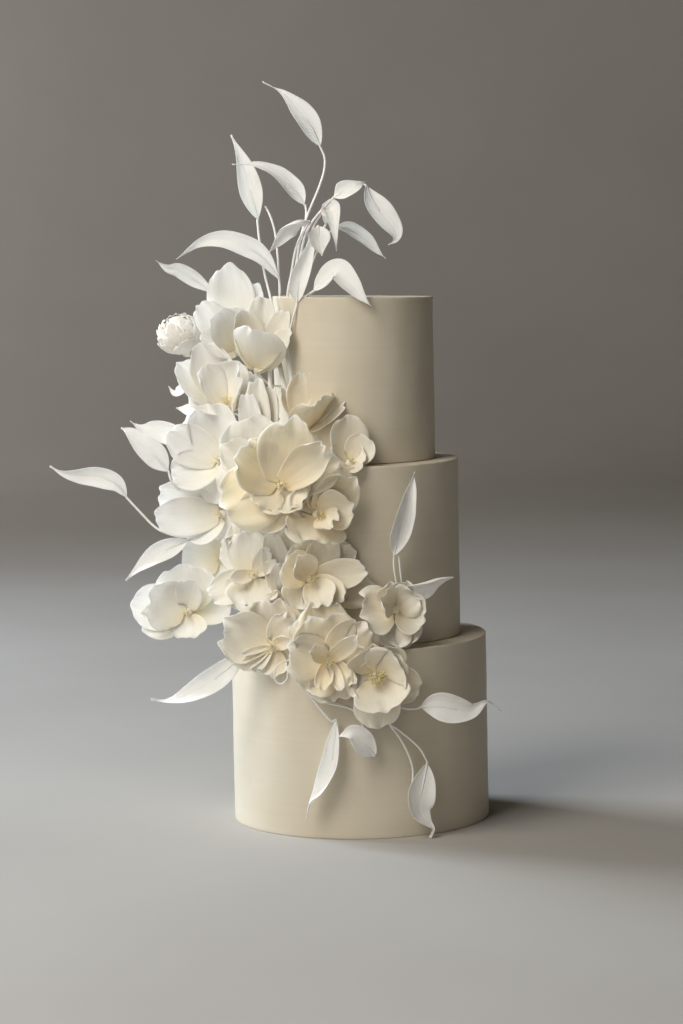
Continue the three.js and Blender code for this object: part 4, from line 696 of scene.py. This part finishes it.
def make_bud():
    centre, facing, radius = BUD
    b = Build()
    ax = axes(*facing)
    c = np.array(centre, float) + ax[0] * -0.95 * radius
    q = 0
    for layer, (count, size, reach, low, high) in enumerate(BUD_LAYERS):
        for i in range(count):
            R = radius * size * (0.97 + 0.06 * rnd(78, q))
            ang = i * 360 / count + layer * 137 + 14 * rnd(77, q)
            p = [ang, R * reach, R * 1.3 * (0.9 + 0.2 * rnd(79, q)), low, high + 10 * rnd(81, q), 0.85]
            P, s, v = petal_grid(24, 18, p, 300 + q, frill=1.0, fine=1.0)
            b.sheet(seat(P, c, ax, ang), s, v, petal_half, M_BUD, 0.1 + 0.2 * rnd(300 + q, 9))
            q += 1
    ball = [(0, 0.15)] + [(0.84 * math.sin(math.radians(a)), 0.95 - 0.84 * math.cos(math.radians(a))) for a in range(15, 180, 15)] + [(0, 1.79)]
    b.lathe(c, ax[0], [(r * radius, h * radius) for r, h in ball], M_BUD, 20, 0.3)
    support(b, c, ax[0], CALYX * 1.1)
    return finish_piece(b, "sugar_bud_rosette", "bud_rosette")


def make_leaf(k, leaf):
    name, mid, stem = leaf[0], leaf[1], leaf[7]
    b = Build()
    length = float(np.sum(np.linalg.norm(np.diff(along(mid, np.linspace(0, 1, 60)), axis=0), axis=1)))
    P, s, v = leaf_grid(max(24, int(length / 1.7)), 18, leaf, 500 + k)
    b.sheet(P, s, v, leaf_half, M_LEAF, rnd(k, 3))
    path = np.vstack([along(mid, [0.34, 0.2, 0.08])[:, :], [mid[0]], stem])
    run = float(np.sum(np.linalg.norm(np.diff(path, axis=0), axis=1)))
    taper = lambda t: STEM_RADIUS * (0.45 + 0.55 * np.clip(t * run / 18, 0, 1))
    b.tube(path, taper, M_STEM, 8, max(16, int(run / 2.5)), wrap=2.6)
    return finish_piece(b, "sugar_" + name, name)


def make_wire(wire):
    name, path, r = wire
    b = Build()
    run = float(np.sum(np.linalg.norm(np.diff(np.array(path), axis=0), axis=1)))
    b.tube(path, r, M_STEM, 12 if r > 1.5 else 8, max(16, int(run / 1.5)), wrap=4.2 if r > 1.5 else 2.4)
    return finish_piece(b, "wired_" + name, name)


def make_tier(k, name):
    low, high, R = (TIER_TOP[k - 1] + GAP if k else 0.0), TIER_TOP[k], TIER_RADIUS[k]
    fil, foot = 1.2, 0.9
    prof = [(0, low)] + [((R - foot) * q, low) for q in (0.25, 0.5, 0.75, 0.92, 1)]
    for a in (30, 60, 90):
        prof.append((R - foot + foot * math.sin(math.radians(a)), low + foot - foot * math.cos(math.radians(a))))
    steps = int((high - low - foot - fil) / 2.6)
    for i in range(1, steps + 1):
        prof.append((R, low + foot + (high - low - foot - fil) * i / steps))
    for a in (18, 36, 54, 72, 90):
        prof.append((R - fil + fil * math.cos(math.radians(a)), high - fil + fil * math.sin(math.radians(a))))
    prof += [((R - fil) * q, high) for q in (0.985, 0.96, 0.92, 0.85, 0.75, 0.6, 0.4, 0.2)] + [(0, high)]
    sides = 256
    ang = np.arange(sides) / sides * 2 * np.pi
    seed = 40 + k * 7
    ph = [rnd(seed, i) * 6.283 for i in range(14)]
    V = []
    for i, (r, z) in enumerate(prof[1:-1]):
        # hand-smoothed coat: never quite round, its rim a touch uneven
        e = 0.30 * np.sin(2 * ang + ph[0]) + 0.22 * np.sin(3 * ang + ph[1]) + 0.16 * np.sin(5 * ang + ph[2] + z * 0.02)
        e = e + 0.10 * np.sin(9 * ang + ph[3] + z * 0.05) + 0.07 * np.sin(17 * ang + ph[4] - z * 0.03)
        e = e + 0.10 * math.sin(z * 0.09 + ph[5]) + 0.06 * np.sin(z * 0.23 + ph[6] + 3 * ang) - 0.45
        near_rim = math.exp(-(((z - high) / 2.2) ** 2)) * min(1, r / R)
        lip = near_rim * (0.12 * np.sin(13 * ang + ph[7]) + 0.09 * np.sin(31 * ang + ph[8]) + 0.07 * np.sin(53 * ang + ph[9]))
        rr = r * (1 + (e + lip * 0.8) / R * min(1.0, r / R * 1.0))
        zz = z + (0 if z < high - fil - 1e-6 else 1) * (lip * 0.7 + 0.10 * np.sin(2 * ang + ph[10]) * (r / R) - 0.12)
        if k == 2:  # the top face falls a little to the right and back
            zz = zz + max(0, (z - low) / (high - low)) * (TOP_SLOPE[0] * rr * np.cos(ang) + TOP_SLOPE[1] * rr * np.sin(ang))
        V.append(np.stack([rr * np.cos(ang), rr * np.sin(ang), zz * np.ones_like(ang)], -1))
    n = len(V)
    V = np.vstack(V + [[[0, 0, low]], [[0, 0, high - 0.12]]])
    i = np.arange(n - 1)[:, None] * sides
    j = np.arange(sides)[None, :]
    j2 = (j + 1) % sides
    faces = np.stack([i + j, i + j2, i + sides + j2, i + sides + j], -1).reshape(-1, 4).tolist()
    faces += [[n * sides, (q + 1) % sides, q] for q in range(sides)]
    faces += [[n * sides + 1, (n - 1) * sides + q, (n - 1) * sides + (q + 1) % sides] for q in range(sides)]
    me = bpy.data.meshes.new("iced_" + name)
    me.from_pydata((V * MM).tolist(), [], faces)
    me.polygons.foreach_set("use_smooth", [True] * len(faces))
    me.materials.append(ICING)
    me.update()
    ob = bpy.data.objects.new("iced_" + name, me)
    bpy.context.scene.collection.objects.link(ob)
    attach(ob, "root")
    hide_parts(name)
    return ob


# flower hearts: how many stamens, how long, how far they spread, size of their tips
HEARTS = {
    "flower_04": (9, 13, 0.7, 0.5), "flower_05": (18, 9, 0.7, 0.85), "flower_08": (20, 9, 0.75, 0.85),
    "flower_09": (20, 9, 0.75, 0.85), "flower_10": (14, 12, 0.55, 0.7), "flower_11": (12, 8, 0.6, 0.7),
    "flower_13": (22, 13, 0.85, 0.65), "flower_14": (18, 9, 0.65, 0.85), "flower_15": (40, 12, 1.0, 1.15),
    "flower_16": (12, 7, 0.6, 0.6), "flower_02": (12, 10, 0.4, 0.6), "flower_03": (14, 10, 0.5, 0.6),
    "flower_07": (12, 9, 0.4, 0.6), "flower_18": (10, 7, 0.4, 0.5),
}
# how much painted shade each flower carries, from bright white to cream: the lit flowers at the left stay white, those
# deep in the cascade are painted a darker, warmer cream
PAINTED_SHADE_BY_FLOWER = {
    "flower_01": 0.1, "flower_03": 0.1, "flower_04": 0.05, "flower_11": 0.1, "flower_12": 0.1, "flower_17": 0.0,
    "flower_05": 0.85, "flower_08": 0.85, "flower_09": 0.8, "flower_14": 0.9, "flower_15": 0.8, "flower_13": 0.6,
    "flower_16": 0.6, "flower_07": 0.7, "flower_18": 0.7, "flower_20": 0.5, "flower_02": 0.4, "flower_06": 0.3,
}
# how ruffled each flower's margins are
FRILL = {
    "flower_13": 1.9, "flower_14": 1.6, "flower_05": 1.4, "flower_08": 1.5, "flower_10": 1.4, "flower_16": 1.5,
    "flower_09": 1.3, "flower_20": 1.6, "flower_06": 1.3, "flower_12": 0.7, "flower_15": 0.8, "flower_02": 0.8,
}
# the four most crowded flowers, with the narrow folded petals that the plain solids leave out
FINER = {
    "flower_09": [[-52, 41, 52, -7, 7, 0.5], [-17, 67, 40, -4, 10, 0.55], [-109, 31, 52, -9, 16, 0.5], [100, 39, 46, -5, 25, 0.6],
                  [36, 52, 36, -2, 18, 0.5], [147, 33, 44, -3, 31, 0.65], [64, 47, 36, 3, 26, 0.6], [8, 55, 32, 7, 27, 0.55],
                  [-34, 39, 30, 14, 38, 0.7], [-66, 34, 36, 16, 56, 0.75], [122, 33, 32, 13, 58, 0.85]],
    "flower_10": [[-131, 39, 36, -16, 2, 0.6], [-154, 48, 36, -9, 9, 0.65], [-37, 28, 38, -10, 20, 0.65], [99, 44, 48, 3, 31, 0.55],
                  [-95, 36, 54, 4, 40, 0.6], [58, 35, 20, 14, 50, 1.1], [24, 33, 15, 16, 52, 1.2], [-168, 27, 18, 18, 52, 1.1]],
    "flower_13": [[123, 48, 36, -6, 20, 0.65], [93, 46, 52, -5, 23, 0.55], [-165, 42, 40, -1, 21, 0.6], [-109, 29, 44, 0, 24, 0.6],
                  [52, 36, 36, -3, 29, 0.65], [160, 53, 56, 3, 31, 0.55], [-122, 27, 12, 12, 26, 1.0], [-138, 31, 10, 12, 30, 1.1],
                  [-153, 33, 9, 14, 33, 1.2], [-168, 31, 9, 16, 36, 1.2], [20, 26, 18, 18, 58, 1.1]],
    "flower_14": [[97, 57, 56, -13, 3, 0.5], [128, 49, 44, -12, 13, 0.6], [-77, 40, 54, -6, 14, 0.5], [-132, 37, 46, -8, 16, 0.6],
                  [40, 51, 48, -4, 20, 0.6], [98, 46, 66, -5, 31, 0.45], [165, 42, 52, -1, 33, 0.55], [12, 40, 30, 10, 40, 0.8],
                  [-40, 36, 20, 12, 44, 1.1], [-68, 34, 16, 18, 50, 1.2], [-112, 33, 20, 14, 54, 1.1], [46, 50, 22, 28, 60, 1.25],
                  [142, 30, 20, 24, 60, 1.0]],
}
# how crinkled and notched they are
CRINKLE = {
    "flower_05": 1.4, "flower_06": 1.3, "flower_08": 1.5, "flower_09": 1.25, "flower_10": 1.9, "flower_13": 2.2,
    "flower_14": 2.0, "flower_16": 1.8, "flower_20": 1.8, "flower_12": 1.3, "flower_07": 1.3,
}
BUD_LAYERS = [[6, 1.0, 1.7, -8, 88], [6, 0.98, 2.05, -5, 112], [6, 0.96, 2.35, -2, 132], [5, 0.92, 2.65, 0, 147], [4, 0.84, 2.85, 3, 158], [3, 0.7, 2.95, 6, 166]]

for k, name in enumerate(["tier_bottom", "tier_middle", "tier_top"]):
    make_tier(k, name)
for k, f in enumerate(FLOWERS):
    make_flower(k, f)
make_bud()
for k, l in enumerate(LEAVES):
    make_leaf(k, l)
for w in WIRES:
    make_wire(w)

# ---------------------------------------------------------------- stage, light, camera
def make_floor():
    """Pale floor that curves up into a low wall all the way round, seamless from any side."""
    prof = [(0.0, 0.0), (0.6, 0.0), (1.4, 0.0), (2.6, 0.0), (3.8, 0.0)]
    for i in range(1, 13):
        a = math.radians(90 * i / 12)
        prof.append((3.8 + 1.6 * math.sin(a), 1.6 - 1.6 * math.cos(a)))
    prof += [(5.4, 3.4)]
    n = 96
    V = [(0, 0, 0)] + [(r * math.cos(6.283185307 * k / n), r * math.sin(6.283185307 * k / n), z) for r, z in prof[1:] for k in range(n)]
    faces = [(0, 1 + k, 1 + (k + 1) % n) for k in range(n)]
    for i in range(len(prof) - 2):
        a, b = 1 + i * n, 1 + (i + 1) * n
        faces += [(a + k, b + k, b + (k + 1) % n, a + (k + 1) % n) for k in range(n)]
    me = bpy.data.meshes.new("floor")
    me.from_pydata(V, [], faces)
    me.polygons.foreach_set("use_smooth", [True] * len(faces))
    ob = bpy.data.objects.new("floor", me)
    bpy.context.scene.collection.objects.link(ob)
    me.materials.append(plain_material("pale_floor", (0.45, 0.43, 0.405), (0.42, 0.40, 0.375), 0.8, 2.0, bump=0.02, dist=0.0005, sss=0.0))


make_floor()


def area(name, loc, target, size, power, color, spread=math.pi):
    d = bpy.data.lights.new(name, "AREA")
    d.shape = "RECTANGLE"
    d.size, d.size_y = size
    d.energy = power
    d.color = color
    d.spread = spread
    o = bpy.data.objects.new(name, d)
    o.location = loc
    o.rotation_euler = (Vector(target) - Vector(loc)).to_track_quat("-Z", "Y").to_euler()
    bpy.context.scene.collection.objects.link(o)
    return o


area("key", (-1.18, -1.36, 2.05), (0, 0, 0.42), (1.3, 1.3), 42.5, (1.0, 0.96, 0.885))
area("front", (-1.60, -2.80, 0.90), (0, 0, 0.36), (2.4, 1.7), 17.5, (1.0, 0.955, 0.88))
area("back_left", (-2.78, 1.62, 1.66), (0, 0, 0.42), (1.5, 1.6), 51, (0.80, 0.90, 1.0), math.radians(100))
area("backdrop", (-2.7, 2.9, 2.1), (-0.9, 5.6, 0.8), (1.8, 1.4), 46, (1.0, 0.965, 0.93))

world = bpy.data.worlds.new("studio")
bpy.context.scene.world = world
world.use_nodes = True
bg = world.node_tree.nodes["Background"]
bg.inputs[0].default_value = (0.36, 0.27, 0.15, 1)
bg.inputs[1].default_value = 0.06

F, PITCH, ROLL, YAW = 3013.0, 0.0971, 0.0194, 0.0081
fw = Vector((math.sin(YAW) * math.cos(PITCH), math.cos(YAW) * math.cos(PITCH), -math.sin(PITCH)))
rt = Vector((math.cos(YAW), -math.sin(YAW), 0))
up = rt.cross(fw)
c, s = math.cos(ROLL), math.sin(ROLL)
R_, U_ = rt * c - up * s, rt * s + up * c
cam_data = bpy.data.cameras.new("camera")
cam_data.sensor_width = 36
cam_data.lens = F * 36 / 1024
cam_data.clip_start, cam_data.clip_end = 0.05, 60
cam = bpy.data.objects.new("camera", cam_data)
cam.matrix_world = Matrix((
    (R_.x, U_.x, -fw.x, -0.0401),
    (R_.y, U_.y, -fw.y, -3.0602),
    (R_.z, U_.z, -fw.z, 0.6105),
    (0, 0, 0, 1),
))
bpy.context.scene.collection.objects.link(cam)
bpy.context.scene.camera = cam
bpy.context.scene.view_settings.view_transform = "Standard"
bpy.context.scene.view_settings.look = "None"
